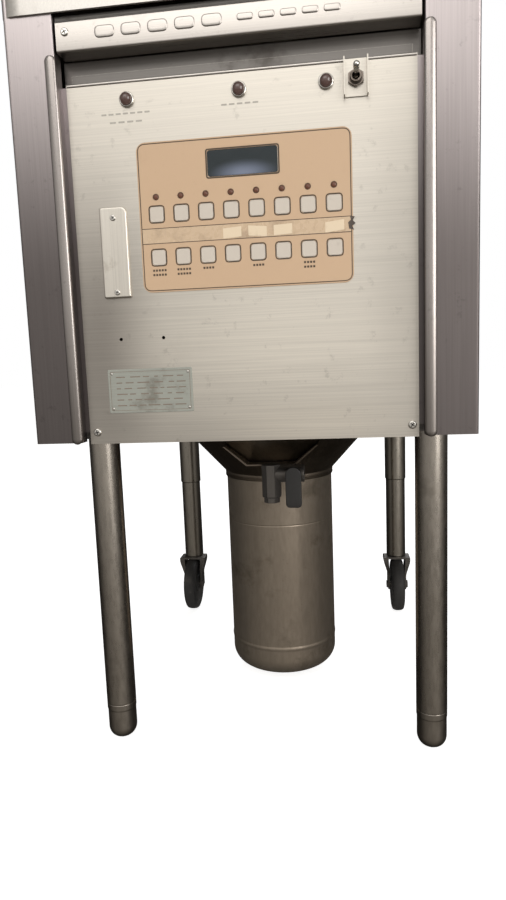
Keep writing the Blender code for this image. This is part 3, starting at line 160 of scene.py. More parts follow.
def make_grain():
    """Noise squeezed along the brushing direction, as a roughness offset and a height."""
    group, given, out = new_group(
        "Grain", [("Vector", VECTOR, None), ("Strength", FLOAT, 0.1)],
        [("Roughness", FLOAT), ("Height", FLOAT)]
    )
    fine = add(group, "ShaderNodeTexNoise", {"Vector": given.outputs["Vector"]}, Scale=1.0, Detail=3.0)
    centred = maths(group, "SUBTRACT", fine.outputs["Fac"], 0.5)
    scaled = maths(group, "MULTIPLY", centred, given.outputs["Strength"])
    group.links.new(scaled, out.inputs["Roughness"])
    group.links.new(fine.outputs["Fac"], out.inputs["Height"])
    return group


def make_soil():
    """Large patches times small flecks, cut at a level that sets how much is covered."""
    group, given, out = new_group(
        "Soil", [("Vector", VECTOR, None), ("Scale", FLOAT, 9.0), ("Cover", FLOAT, 0.4)],
        [("Mask", FLOAT), ("Flecks", FLOAT)]
    )
    large = add(
        group, "ShaderNodeTexNoise", {"Vector": given.outputs["Vector"], "Scale": given.outputs["Scale"]},
        Detail=6.0, Roughness=0.62
    )
    small_scale = maths(group, "MULTIPLY", given.outputs["Scale"], 17.0)
    small = add(
        group, "ShaderNodeTexNoise", {"Vector": given.outputs["Vector"], "Scale": small_scale}, Detail=4.0,
        Roughness=0.7
    )
    cut = maths(group, "SUBTRACT", 0.74, maths(group, "MULTIPLY", given.outputs["Cover"], 0.42))
    upper = maths(group, "ADD", cut, 0.16)
    group.links.new(ranged(group, large.outputs["Fac"], cut, upper), out.inputs["Mask"])
    group.links.new(ranged(group, small.outputs["Fac"], 0.60, 0.72), out.inputs["Flecks"])
    return group


def make_rise():
    """0 below the low height and 1 above the high one, with a smooth change between."""
    group, given, out = new_group(
        "Rise", [("Vector", VECTOR, None), ("Low", FLOAT, 0.0), ("High", FLOAT, 1.0)], [("Mask", FLOAT)]
    )
    parts = add(group, "ShaderNodeSeparateXYZ", {"Vector": given.outputs["Vector"]})
    mask = ranged(group, parts.outputs["Z"], given.outputs["Low"], given.outputs["High"])
    group.links.new(mask, out.inputs["Mask"])
    return group


def make_bloom():
    """A soft round patch: 1 at a centre and 0 at a radius, after the coordinates are stretched."""
    group, given, out = new_group(
        "Bloom",
        [
            ("Vector", VECTOR, None), ("Centre", VECTOR, (0.0, 0.0, 0.0)),
            ("Stretch", VECTOR, (1.0, 1.0, 1.0)), ("Radius", FLOAT, 0.1)
        ],
        [("Mask", FLOAT)]
    )
    away = vector_maths(group, "SUBTRACT", given.outputs["Vector"], given.outputs["Centre"])
    stretched = vector_maths(group, "MULTIPLY", away.outputs[0], given.outputs["Stretch"])
    length = vector_maths(group, "LENGTH", stretched.outputs[0])
    group.links.new(ranged(group, length.outputs["Value"], given.outputs["Radius"], 0.0), out.inputs["Mask"])
    return group


GRAIN, SOIL, RISE, BLOOM = make_grain(), make_soil(), make_rise(), make_bloom()
print("shared effects:", [g.name for g in (GRAIN, SOIL, RISE, BLOOM)])

# %% [markdown]
# ## Finishes
# Steel in a kitchen is never one colour. A base colour is mixed with a darker one where the Soil mask says
# so, which is dirt, and where the part is low, which on the posts is painted shade. The brushing shows mostly
# in how rough the metal is. Soft patches of tint on the panel and the window are painted reflections. One
# function makes every metal from a few numbers, and a second one makes the plastics, which have a fine pebble
# instead of brushing.
# %% Material makers


def group_node(tree, group, links=(), **values):
    """One of the shared groups, with its inputs set by value or linked from sockets."""
    node = tree.nodes.new("ShaderNodeGroup")
    node.node_tree = group
    for key, value in values.items():
        node.inputs[key].default_value = value
    for key, source in dict(links).items():
        tree.links.new(source, node.inputs[key])
    return node


def blank(name, roughness, metallic, coat=0.0):
    """A new material with its shader, and the object coordinates that its patterns use."""
    made = bpy.data.materials.new(name)
    made.use_nodes = True
    shader = made.node_tree.nodes["Principled BSDF"]
    shader.inputs["Roughness"].default_value = roughness
    shader.inputs["Metallic"].default_value = metallic
    shader.inputs["Coat Weight"].default_value = coat
    where = made.node_tree.nodes.new("ShaderNodeTexCoord").outputs["Object"]
    return made, made.node_tree, shader, where


def bumped(tree, shader, height, distance, strength=1.0):
    """A height turned into a bump on the shader's normal."""
    bump = add(tree, "ShaderNodeBump", {"Height": height}, Distance=distance, Strength=strength)
    tree.links.new(bump.outputs["Normal"], shader.inputs["Normal"])


def bloomed(tree, where, colour, blooms):
    """The colour with soft patches of other tints over it, each a centre, stretch, radius, tint, strength."""
    for centre, stretch, radius, tint, strength in blooms:
        patch = group_node(tree, BLOOM, {"Vector": where}, Centre=centre, Stretch=stretch, Radius=radius)
        colour = blended(tree, maths(tree, "MULTIPLY", patch.outputs["Mask"], strength), colour, tint)
    return colour


def metal(
    name, clean, dirt_and_shade, roughness, brushed, soil=(9.0, 0.4), low=None, grain=0.16, metallic=1.0, blooms=()
):
    """A metal: a clean colour and a darker one for dirt and for painted shade, brushing scale per axis, and a
    height range below which it turns darker.
    """
    made, tree, shader, where = blank(name, roughness, metallic)
    along = add(tree, "ShaderNodeMapping", {"Vector": where}, Scale=brushed)
    brush = group_node(tree, GRAIN, {"Vector": along.outputs["Vector"]}, Strength=grain)
    patches = group_node(tree, SOIL, {"Vector": where}, Scale=soil[0], Cover=soil[1])
    mask = patches.outputs["Mask"]
    # Below the low height range the colour turns to the darker one. On the posts this is painted shade.
    if low:
        height = group_node(tree, RISE, {"Vector": where}, Low=low[0], High=low[1])
        darker_below = maths(tree, "SUBTRACT", 1.0, height.outputs["Mask"])
        mask = maths(tree, "MAXIMUM", mask, darker_below)
    amount = maths(tree, "MULTIPLY", mask, 0.85)
    colour = blended(tree, amount, clean, dirt_and_shade)
    colour = bloomed(tree, where, colour, blooms)
    flecks = maths(tree, "MULTIPLY", patches.outputs["Flecks"], 0.2)
    colour = blended(tree, flecks, colour, [c * 0.45 for c in dirt_and_shade])
    streak = ranged(tree, brush.outputs["Height"], 0.3, 0.7, 0.93, 1.06, smooth=False)
    shade = add(tree, "ShaderNodeCombineColor", {"Red": streak, "Green": streak, "Blue": streak})
    colour = blended(tree, 1.0, colour, shade.outputs["Color"], "MULTIPLY")
    tree.links.new(colour, shader.inputs["Base Color"])
    rough = maths(tree, "ADD", brush.outputs["Roughness"], roughness)
    rough = maths(tree, "ADD", rough, maths(tree, "MULTIPLY", mask, 0.14))
    tree.links.new(rough, shader.inputs["Roughness"])
    bumped(tree, shader, brush.outputs["Height"], 0.00002, 0.5)
    return made


def plastic(name, base, worn, roughness, pebble=(900.0, 0.00003), soil=(16.0, 0.3), coat=0.0, blooms=()):
    """A moulded or printed plastic: two tones by wear, and a fine pebble as bump."""
    made, tree, shader, where = blank(name, roughness, 0.0, coat)
    patches = group_node(tree, SOIL, {"Vector": where}, Scale=soil[0], Cover=soil[1])
    colour = blended(tree, maths(tree, "MULTIPLY", patches.outputs["Mask"], 0.6), base, worn)
    colour = blended(tree, maths(tree, "MULTIPLY", patches.outputs["Flecks"], 0.18), colour, worn)
    colour = bloomed(tree, where, colour, blooms)
    tree.links.new(colour, shader.inputs["Base Color"])
    pebbles = add(tree, "ShaderNodeTexNoise", {"Vector": where}, Scale=pebble[0], Detail=2.0)
    rough = ranged(tree, pebbles.outputs["Fac"], 0.3, 0.7, roughness - 0.05, roughness + 0.07, smooth=False)
    tree.links.new(rough, shader.inputs["Roughness"])
    bumped(tree, shader, pebbles.outputs["Fac"], pebble[1])
    return made


# %% The finishes of this machine
DOWN = (700.0, 700.0, 9.0)
ACROSS = (7.0, 500.0, 700.0)
LENGTHWAYS = (700.0, 7.0, 500.0)
ROUND = (260.0, 260.0, 60.0)
# The posts turn dark grey below the low range of 0.56 to 0.86 m. This is painted shade for the fall from
# light to dark down the posts. The band tuple next lays a lighter tint over a band of depth round y = 0.05,
# along the walls.
LIGHTER_WALL_BAND = (((0.0, 0.05, 0.0), (0.0, 1.0, 0.0), 0.39, (0.60, 0.58, 0.55), 0.92),)
POST = metal(
    "post_steel", (0.56, 0.51, 0.515), (0.105, 0.092, 0.088), 0.34, DOWN, (5.0, 0.15), (0.56, 0.86),
    blooms=LIGHTER_WALL_BAND
)
HEADER = metal("header_steel", (0.56, 0.53, 0.50), (0.42, 0.39, 0.36), 0.30, ACROSS, (8.0, 0.3))
# Dark steel for the sheets behind the gaps. Laid on the thin sheet over the panel's stepped-back flange, the
# same colour is painted shade.
BAFFLE_AND_PAINTED_SHADE = metal("baffle_and_shade_steel", (0.20, 0.19, 0.18), (0.13, 0.12, 0.11), 0.42, ACROSS, (14.0, 0.4))
DECK = metal("deck_steel", (0.60, 0.58, 0.55), (0.42, 0.39, 0.35), 0.34, LENGTHWAYS, (6.0, 0.45))
WALL = metal("wall_steel", (0.52, 0.50, 0.48), (0.34, 0.32, 0.30), 0.36, LENGTHWAYS, (5.0, 0.35), (0.38, 0.5))
# Four soft patches on the control panel: dark at the middle left and at the right, pale in the middle and low
# down. They are painted reflections of the room, laid into the colour.
PANEL_PAINTED_REFLECTIONS = (
    ((-0.150, 0.0, 0.520), (1.0, 0.0, 0.36), 0.075, (0.26, 0.235, 0.215), 0.75),
    ((0.020, 0.0, 0.500), (0.55, 0.0, 0.9), 0.110, (0.90, 0.85, 0.76), 0.85),
    ((0.060, 0.0, 0.420), (0.30, 0.0, 1.0), 0.040, (0.88, 0.82, 0.72), 0.65),
    ((0.175, 0.0, 0.600), (1.0, 0.0, 0.28), 0.070, (0.44, 0.415, 0.375), 0.65),
)
PANEL = metal(
    "panel_steel", (0.67, 0.635, 0.575), (0.44, 0.41, 0.37), 0.40, ACROSS, (4.0, 0.30), (0.30, 0.46),
    blooms=PANEL_PAINTED_REFLECTIONS
)
TRIM = metal("trim_steel", (0.40, 0.37, 0.355), (0.22, 0.20, 0.185), 0.26, DOWN, (9.0, 0.3), (0.36, 0.60))
COVER = metal("cover_steel", (0.80, 0.76, 0.69), (0.56, 0.51, 0.44), 0.34, DOWN, (30.0, 0.3))
REAR = metal("rear_leg_steel", (0.34, 0.315, 0.275), (0.20, 0.18, 0.15), 0.30, ROUND, (14.0, 0.4))
TUBE = metal("leg_steel", (0.50, 0.46, 0.41), (0.27, 0.24, 0.205), 0.28, ROUND, (14.0, 0.4), (-0.1, 0.10))
POT = metal(
    "pot_steel", (0.355, 0.30, 0.24), (0.175, 0.145, 0.11), 0.36, ROUND, (11.0, 0.5), (-0.05, 0.07),
    metallic=0.9
)
CONE = metal("cone_steel", (0.24, 0.20, 0.16), (0.10, 0.08, 0.06), 0.40, ROUND, (9.0, 0.6))
VESSEL = metal("vessel_steel", (0.52, 0.48, 0.42), (0.24, 0.17, 0.10), 0.34, ROUND, (7.0, 0.5))
DARK = metal("dark_steel", (0.13, 0.12, 0.11), (0.05, 0.045, 0.04), 0.42, ROUND, (18.0, 0.5), metallic=0.85)
CAST = metal("cast_aluminium", (0.60, 0.60, 0.58), (0.38, 0.35, 0.31), 0.46, (90.0,) * 3, (9.0, 0.4))
BRIGHT = metal("bright_plate", (0.74, 0.72, 0.68), (0.46, 0.42, 0.36), 0.16, ROUND, (30.0, 0.3), grain=0.06)
BRONZE = metal("bronze_nut", (0.24, 0.205, 0.18), (0.10, 0.085, 0.07), 0.34, ROUND, (60.0, 0.4), grain=0.06)
BRASS = metal("brass", (0.60, 0.44, 0.20), (0.30, 0.20, 0.09), 0.30, ROUND, (30.0, 0.4), grain=0.08)
PLATE = metal("rating_plate", (0.36, 0.37, 0.33), (0.20, 0.19, 0.16), 0.48, ACROSS, (24.0, 0.5), metallic=0.6)
FILM = plastic(
    "overlay_film", (0.455, 0.315, 0.20), (0.37, 0.25, 0.155), 0.46, (1400.0, 0.00003), (12.0, 0.4)
)
KEY = plastic("key_film", (0.47, 0.42, 0.36), (0.34, 0.30, 0.25), 0.42, (1400.0, 0.00003), (60.0, 0.3))
PRINT = plastic("brown_print", (0.060, 0.040, 0.024), (0.10, 0.07, 0.042), 0.62)
ETCH = plastic("etched_letters", (0.34, 0.32, 0.28), (0.42, 0.39, 0.34), 0.55)
STRIP = plastic("clear_strip", (0.47, 0.35, 0.235), (0.31, 0.225, 0.15), 0.28, (200.0, 0.00006), (30.0, 0.55))
CHIP = plastic("torn_edge", (0.06, 0.045, 0.035), (0.16, 0.12, 0.09), 0.6, (300.0, 0.0001), (200.0, 0.6))
MARK = plastic("grey_print", (0.17, 0.13, 0.10), (0.28, 0.22, 0.17), 0.50)
TAPE = plastic("label_tape", (0.60, 0.49, 0.35), (0.45, 0.35, 0.23), 0.55, (500.0, 0.00005), (70.0, 0.4))
LED = plastic("unlit_led", (0.105, 0.038, 0.020), (0.15, 0.06, 0.035), 0.34, coat=0.1)
# A pale blue patch on the display window: a painted reflection.
PANE_PAINTED_REFLECTION = (((0.004, 0.0, 0.6715), (0.36, 0.0, 1.0), 0.014, (0.15, 0.175, 0.24), 0.9),)
WINDOW = plastic(
    "display_window", (0.008, 0.014, 0.017), (0.02, 0.03, 0.035), 0.12, (60.0, 0.00001), coat=0.1,
    blooms=PANE_PAINTED_REFLECTION
)
LENS = plastic("lamp_lens", (0.070, 0.040, 0.034), (0.13, 0.06, 0.05), 0.18, coat=0.7)
BLACK = plastic("black_moulding", (0.018, 0.017, 0.016), (0.05, 0.045, 0.04), 0.44, (700.0, 0.00005))
TYRE = plastic(
    "tyre_rubber", (0.016, 0.015, 0.014), (0.06, 0.052, 0.045), 0.66, (500.0, 0.00010), (30.0, 0.5)
)
SEAL = plastic("seal_rubber", (0.11, 0.065, 0.04), (0.05, 0.03, 0.02), 0.60, (300.0, 0.00006))
DIAL = plastic("dial_face", (0.78, 0.77, 0.73), (0.62, 0.58, 0.50), 0.30, coat=0.8)
print("finishes:", len(bpy.data.materials))

# %% [markdown]
# ## Making surfaces
# Every new piece is a grid of points worked out at once with numpy. A turned part is a profile of radii and
# heights carried round a circle; a folded part is an outline carried along a straight line. Corners in
# either are rounded by swapping each corner point for a short arc, which is what makes metal look bent or
# machined and not cut from paper.
# %% Rounding a path and turning a profile
FRONT_TO_BACK = Matrix.Rotation(math.radians(90), 4, "X")
SIDE_TO_SIDE = Matrix.Rotation(math.radians(90), 4, "Y")
UPRIGHT = Matrix.Identity(4)


def rounded(points, radii, closed=False, steps=5):
    """The path with each corner swapped for an arc: a quadratic curve between the points where it starts
    and ends, which lie at most the radius, and at most 0.49 of each side, from the corner."""
    path, count = [], len(points)
    radii = [radii] * count if np.isscalar(radii) else list(radii)
    for i, (corner, radius) in enumerate(zip(np.array(points, float), radii)):
        if radius <= 0 or (not closed and i in (0, count - 1)):
            path.append(corner[None])
            continue
        before = np.array(points[i - 1], float) - corner
        after = np.array(points[(i + 1) % count], float) - corner
        reach = min(radius, 0.49 * np.linalg.norm(before), 0.49 * np.linalg.norm(after))
        start = corner + before / np.linalg.norm(before) * reach
        end = corner + after / np.linalg.norm(after) * reach
        t = np.linspace(0, 1, steps + 1)[:, None]
        path.append((1 - t) ** 2 * start + 2 * t * (1 - t) * corner + t**2 * end)
    return np.concatenate(path)


def piece(name, parts, material, body, replaces=(), angle=35):
    """The (points, faces) parts as one piece: doubles merged, normals out, smooth except at sharp edges,
    riding on a body and standing for the nodes that it replaces."""
    mesh = mesh_of(name, parts)
    bm = bmesh.new()
    bm.from_mesh(mesh)
    bmesh.ops.remove_doubles(bm, verts=bm.verts, dist=1e-6)
    bmesh.ops.dissolve_degenerate(bm, edges=bm.edges, dist=1e-7)
    bmesh.ops.recalc_face_normals(bm, faces=bm.faces)
    bm.to_mesh(mesh)
    bm.free()
    mesh.shade_smooth()
    mesh.set_sharp_from_angle(angle=math.radians(angle))
    mesh.materials.append(material)
    made = bpy.data.objects.new(name, mesh)
    bpy.context.scene.collection.objects.link(made)
    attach(made, body)
    if replaces:
        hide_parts(replaces)


def held(path, closed=False, near=0.0004):
    """The path with a point added just inside both ends of every long side, so that smooth shading on a
    small bend doesn't spread over the flat beside it."""
    path = np.asarray(path, float)
    after = np.roll(path, -1, 0) if closed else path[1:]
    before = path if closed else path[:-1]
    length = np.linalg.norm(after - before, axis=1)
    keep = [path[:1]]
    for a, b, size in zip(before, after, length):
        if size > 6 * near:
            step = (b - a) / size * near
            keep.append(np.array([a + step, b - step]))
        keep.append(b[None])
    held_path = np.concatenate(keep)
    return held_path[:-1] if closed else held_path


def grid(points, wrap_u=False, wrap_v=False):
    """Faces of a grid of points: each cell's four corners, with the last row or column joined if asked."""
    rows, columns = points.shape[:2]
    i, j = np.meshgrid(np.arange(rows - (not wrap_u)), np.arange(columns - (not wrap_v)), indexing="ij")
    i2, j2 = (i + 1) % rows, (j + 1) % columns
    faces = np.stack([i * columns + j, i2 * columns + j, i2 * columns + j2, i * columns + j2], -1)
    return points.reshape(-1, 3), faces.reshape(-1, 4)


def mesh_of(name, parts):
    """One mesh from several (points, faces) pairs."""
    points, faces, start = [], [], 0
    for spots, quads in parts:
        points.append(np.asarray(spots, float))
        faces += [tuple(int(v) + start for v in face) for face in quads]
        start += len(spots)
    mesh = bpy.data.meshes.new(name)
    mesh.from_pydata(np.concatenate(points), [], faces)
    return mesh


def moved(points, turn, centre):
    """Points turned by a matrix and then moved to a centre."""
    rotation = np.array(turn.to_3x3())
    return points @ rotation.T + np.array(centre)


def rod(radius, low, high):
    """The profile of a solid round bar between two heights."""
    return [(0, low), (radius, low), (radius, high), (0, high)]


def turned_shell(profile, centre, turn=UPRIGHT, sides=96, closed=False):
    """Each profile point (radius r, height h) becomes a ring (r cos a, r sin a, h)."""
    profile = held(profile, closed)
    a = np.linspace(0, math.tau, sides, endpoint=False)
    r, h = profile[:, :1], profile[:, 1:]
    ring = np.stack([r * np.cos(a), r * np.sin(a), h + 0 * a], -1)
    points, faces = grid(ring, wrap_u=closed, wrap_v=True)
    return moved(points, turn, centre), faces


def turned(name, profile, centre, material, body, turn=UPRIGHT, replaces=(), sides=96, closed=False):
    """A turned shell as one piece."""
    piece(name, [turned_shell(profile, centre, turn, sides, closed)], material, body, replaces)


def capped(rings):
    """Rings of the same length joined in order, with a flat face over the first and over the last."""
    rings = np.asarray(rings)
    points, faces = grid(rings, wrap_v=True)
    count, last = rings.shape[1], len(points) - 1
    caps = [tuple(range(count)), tuple(range(last, last - count, -1))]
    return points, [tuple(f) for f in faces] + caps


def prism_shell(outline, low, high):
    """A closed outline (x, y) carried from z = low to z = high, with a flat face at each end."""
    outline = held(outline, True)
    return capped([np.column_stack([outline, np.full(len(outline), z)]) for z in (low, high)])


def facing(shell, x=0.0, z=0.0):
    """A prism turned to face the front: its (x, y, z) become (x, z, y), moved to a place."""
    spots, faces = shell
    return np.stack([spots[:, 0] + x, spots[:, 2], spots[:, 1] + z], -1), faces


def laid_across(shell):
    """A prism laid across the machine: its outline (x, y) becomes (y, z), carried along x."""
    spots, faces = shell
    return np.stack([spots[:, 2], spots[:, 0], spots[:, 1]], -1), faces


def standing(outline, y, x=0.0, z=0.0):
    """An outline (x, z) as a ring of points that stands at depth y."""
    return np.column_stack([outline[:, 0] + x, np.full(len(outline), y), outline[:, 1] + z])


def rectangle(width, height, corner=0.0, steps=5, centre=(0, 0)):
    """A rectangle's outline with rounded corners, centred on a point."""
    w, h = width / 2, height / 2
    points = [(-w, -h), (w, -h), (w, h), (-w, h)]
    return rounded(points, corner, True, steps) + np.array(centre)


def pivot(name):
    """The place of a joint, by its name."""
    return Vector([joint["pos_m"] for joint in frame["joints"] if joint["name"] == name][0])


def middle(node):
    """The middle of a node's box."""
    low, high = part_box(node)
    return (low + high) / 2


print("surface helpers ready; front of the panel at", round(PANEL_Y, 4))

# %% [markdown]
# ## Cabinet sheet
# The real posts, header and deck are folded from sheet, so their edges are small round bends. Each is
# remade here as an outline with rounded corners, carried along its length, with the sizes read
# from the solid part that it stands for. The outer corners get a bend of three millimetres.
# %% Posts and side walls
SHEET = 0.0015
JAMB = 0.178
BEND = 0.003
JAMB_DEPTH, LIP, LIP_UP, LIP_TOP = 0.0155, 0.012, 0.010, 0.766


def side_panel(side, name):
    """The folded outline of wall, post and jamb, carried from the cabinet's underside to its top."""
    low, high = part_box(name)
    wall = high.x if side > 0 else -low.x
    depth, back = FRONT + JAMB_DEPTH, high.y
    outline = [(wall, back), (wall, FRONT), (JAMB, FRONT), (JAMB, depth), (JAMB + SHEET, depth)]
    outline += [(JAMB + SHEET, FRONT + SHEET), (wall - SHEET, FRONT + SHEET), (wall - SHEET, back)]
    radii = [0, BEND, 0.0022, 0.0004, 0.0004, 0.0008, 0.0016, 0]
    folded = rounded(outline, radii, True, 6) * np.array([side, 1])
    out, inner = side * (JAMB + 0.0003), side * (JAMB - LIP)
    lip = [(inner, depth - SHEET), (out, depth - SHEET), (out, depth), (inner, depth)]
    parts = [prism_shell(folded, low.z, high.z)]
    parts.append(prism_shell(rounded(lip, 0.0004, True, 3), low.z + LIP_UP, LIP_TOP))
    piece(name + "_folded", parts, POST, "cabinet", name)


for side, label in ((-1, "left"), (1, "right")):
    side_panel(side, label + "_side_panel")
print("two folded side panels")

# %% Header strip with pressed ribs
LARGE_RIBS = [(-0.126 + 0.0265 * k, 0.0200, 0.0112) for k in range(5)]
SMALL_RIBS = [(0.012 + 0.0205 * k, 0.0155, 0.0062) for k in range(5)]
RIB_STEPS = ((1.0, -0.0003), (1.0, 0.0), (0.985, 0.0004), (0.93, 0.0007), (0.80, 0.0009), (0.5, 0.00095))


def header_strip():
    """A channel whose front carries a row of low pressed ribs: y moves forward by a raised cosine."""
    low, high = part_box("header_strip")
    x = np.linspace(low.x, high.x, 361)
    front, back, inner = low.y, high.y, low.y + SHEET
    corners = [(back, low.z), (front, low.z), (front, high.z), (back, high.z), (back, high.z - SHEET)]
    corners += [(inner, high.z - SHEET), (inner, low.z + SHEET), (back, low.z + SHEET)]
    section = rounded(corners, [0, 0.0022, 0.0022, 0, 0, 0.0007, 0.0007, 0], True, 5)
    y = section[:, 0][None] + 0 * x[:, None]
    z = section[:, 1][None] + 0 * x[:, None]
    parts = [capped(np.stack([x[:, None] + 0 * y, y, z], -1))]
    centre_z = (low.z + high.z) / 2 + 0.0012
    for x, width, height in LARGE_RIBS + SMALL_RIBS:
        parts.append(pressed_rib(x, centre_z, width, height, low.y))
    piece("header_strip_ribbed", parts, HEADER, "cabinet", "header_strip")


def pressed_rib(x, z, width, height, face_y):
    """A low pillow with rounded ends: each ring of its outline shrinks as it comes forward."""
    rings = []
    for share, proud in RIB_STEPS:
        inset = (1 - share) * height / 2
        outline = rectangle(width - 2 * inset, height - 2 * inset, height * 0.45 * share, 6)
        rings.append(standing(outline, face_y - proud, x, z))
    return capped(rings)


header_strip()
print("header with", len(LARGE_RIBS + SMALL_RIBS), "ribs")

# %% Baffles behind the two gaps


def baffle(name, y, low, high, half):
    """A dull sheet seen through a gap: a flat strip whose foot steps forward, carried across x."""
    section = [(y, low), (y, high), (y + SHEET, high), (y + SHEET, low - 0.002), (y - 0.0004, low - 0.002)]
    parts = [laid_across(prism_shell(rounded(section, 0.0006, True, 3), -half, half))]
    piece(name, parts, BAFFLE_AND_PAINTED_SHADE, "cabinet")


header_low, header_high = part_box("header_strip")
deck_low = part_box("top_deck")[0].z
baffle("panel_gap_baffle", PANEL_Y + 0.0108, 0.764, header_low.z - 0.0004, JAMB - 0.0006)
baffle("header_gap_baffle", FRONT + 0.0050, header_high.z + 0.0025, deck_low - 0.0004, JAMB - 0.0010)
print("baffles behind both gaps")

# %% The panel's hemmed top edge
PANEL_TOP, JOGGLE_BACK = 0.768, 0.008
HEM_HEIGHT, HEM_PROUD = 0.0030, 0.0009


def panel_hem():
    """A half-round fold along the panel's top edge: half an ellipse in y and z, carried across x."""
    low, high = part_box("control_panel")
    t = np.linspace(0, math.pi, 13)
    y = PANEL_Y - HEM_PROUD * np.sin(t)
    z = PANEL_TOP - HEM_HEIGHT * (0.5 - 0.5 * np.cos(t))
    hem = laid_across(prism_shell(np.column_stack([y, z]), low.x + 0.0008, high.x - 0.0008))
    piece("control_panel_hem", [hem], HEADER, "cabinet")


def painted_shade_flange():
    """A thin dark sheet over the panel's stepped-back flange: painted shade for the header's shadow on it."""
    low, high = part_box("control_panel")
    face = PANEL_Y + JOGGLE_BACK
    outline = rectangle(high.x - low.x - 0.0076, high.z - PANEL_TOP - 0.0004, 0.0004, 2)
    sheet = facing(prism_shell(outline, face - 0.0003, face - 0.00005), z=(high.z + PANEL_TOP) / 2)
    piece("panel_flange_painted_shade", [sheet], BAFFLE_AND_PAINTED_SHADE, "cabinet")


# The dark sheet from the second call is painted shade on the panel's flange.
panel_hem()
painted_shade_flange()
print("hem and dull flange on the panel's top edge")

# %% Deck with rolled edges


def deck_pan():
    """The deck's top, rolled rim and open underside: rings of a rounded rectangle that follow the sheet's
    section, joined inward to the vessel's mouth, which is a circle sampled at the same angles."""
    low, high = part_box("top_deck")
    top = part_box("exhaust_riser")[0].z - 0.0003
    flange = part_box("fry_vessel")
    centre = np.array([0.0, (flange[0].y + flange[1].y) / 2])
    hole = 0.1795
    sheet = 0.002
    middle_y = (low.y + high.y) / 2
    width, depth, rim = high.x - low.x, high.y - low.y, 0.004
    count = 256
    section = [(-sheet, low.z), (0, low.z + 0.0004), (0, top - rim)]
    t = np.linspace(0, math.pi / 2, 7)[1:]
    section += [(-rim + rim * math.cos(a), top - rim + rim * math.sin(a)) for a in t]
    under = [(-rim - 0.001, top - sheet), (-sheet, top - sheet - 0.001), (-sheet, low.z)]
    a = np.linspace(0, math.tau, count, endpoint=False)

    def ring(inset, z):
        """A rectangle's edge at each angle, with its corners rounded by a high power mean."""
        w, h = width / 2 + inset, depth / 2 + inset
        power = 60.0
        reach = (np.abs(np.cos(a) / w) ** power + np.abs(np.sin(a) / h) ** power) ** (-1 / power)
        return np.stack([reach * np.cos(a), reach * np.sin(a) + middle_y, np.full(count, z)], -1)

    def round_ring(radius, z):
        """A circle round the vessel's mouth."""
        return np.stack(
            [centre[0] + radius * np.cos(a), centre[1] + radius * np.sin(a), np.full(count, z)], -1
        )

    rings = [ring(inset, z) for inset, z in section]
    rings += [round_ring(hole + 0.001, top), round_ring(hole, top - 0.001), round_ring(hole, top - sheet)]
    rings += [ring(inset, z) for inset, z in under]
    parts = [grid(np.stack(rings), wrap_v=True)]
    piece("top_deck_rolled", parts, DECK, "cabinet", "top_deck", angle=50)


LATCH_PIVOT = pivot("latch_swing")
deck_pan()
print("deck and the vessel's mouth")

# %% Edge trims on the posts


def edge_trim(name):
    """A half-round bead: an ellipse section across x and y, with its ends tapered by a round curve."""
    low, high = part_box(name)
    half, proud = (high.x - low.x) / 2, high.y - low.y
    x0 = (low.x + high.x) / 2
    a = np.linspace(0, math.pi, 17)
    length = high.z - low.z
    s = np.concatenate([np.linspace(0, half, 9), [length / 2], np.linspace(length - half, length, 9)])
    end = np.minimum(s, length - s)
    taper = np.sqrt(np.clip(1 - (1 - np.clip(end / half, 0, 1)) ** 2, 0.0004, 1))
    x = x0 + half * taper[:, None] * np.cos(a)[None]
    y = high.y - proud * np.minimum(taper, 1)[:, None] ** 0.5 * np.sin(a)[None]
    z = low.z + s[:, None] + 0 * x
    points, faces = grid(np.stack([x, y, z], -1))
    rows, columns = x.shape
    first = columns * np.arange(rows - 1)
    back = [(i, i + columns, i + 2 * columns - 1, i + columns - 1) for i in first.tolist()]
    caps = [tuple(range(columns)), tuple(range(rows * columns - 1, (rows - 1) * columns - 1, -1))]
    piece(
        name + "_bead", [(points, [tuple(f) for f in faces] + back + caps)], TRIM, "cabinet",
        name
    )


for label in ("left_edge_trim", "right_edge_trim"):
    edge_trim(label)
print("two edge beads")

# %% [markdown]
# ## Control panel
# The control panel, the base frame and the back are plain folded sheets already, so they only change
# material. What people read is the keypad: a tan film with a thin brown frame, a smoked window, a row of
# small lamps, and two rows of pale keys, each inside a printed line. The lines are real, very thin rings,
# so they stay sharp at any distance.
# %% Keep the plain sheets
PLAIN = {
    "control_panel": PANEL, "base_frame": DARK, "back_panel": WALL, "keypad_overlay": FILM,
    "display_window": WINDOW, "switch_guard": PANEL, "exhaust_riser": WALL, "lid_hinge_bracket": DECK
}
for name, material in PLAIN.items():
    nodes[name].data.materials.clear()
    nodes[name].data.materials.append(material)
print("plain nodes:", len(PLAIN))

# %% Keys with soft edges
FILM_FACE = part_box("keypad_overlay")[0].y
KEYS = sorted(name for name in nodes if name.startswith("key_"))


def pillow(centre, width, height, corner, back, face, soft):
    """A pad between two depths: rings of a rounded rectangle shrink towards the front by a quarter circle."""
    t = np.linspace(0, math.pi / 2, 5)
    rings = [(0.0, back)] + [(soft * (1 - math.cos(b)), face + soft * (1 - math.sin(b))) for b in t]
    rings.append((soft + 0.0004, face))
    spots = []
    for inset, y in rings:
        outline = rectangle(width - 2 * inset, height - 2 * inset, corner, 6)
        spots.append(standing(outline, y, centre.x, centre.z))
    return capped(spots)


def key_cap(name):
    """A soft pad over one key, as large as the key itself."""
    low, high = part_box(name)
    centre = (low + high) / 2
    size = high - low
    piece(
        name + "_cap", [pillow(centre, size.x, size.z, 0.0030, high.y, low.y, 0.0004)], KEY, name,
        name
    )


for name in KEYS:
    key_cap(name)
print("keys:", len(KEYS))

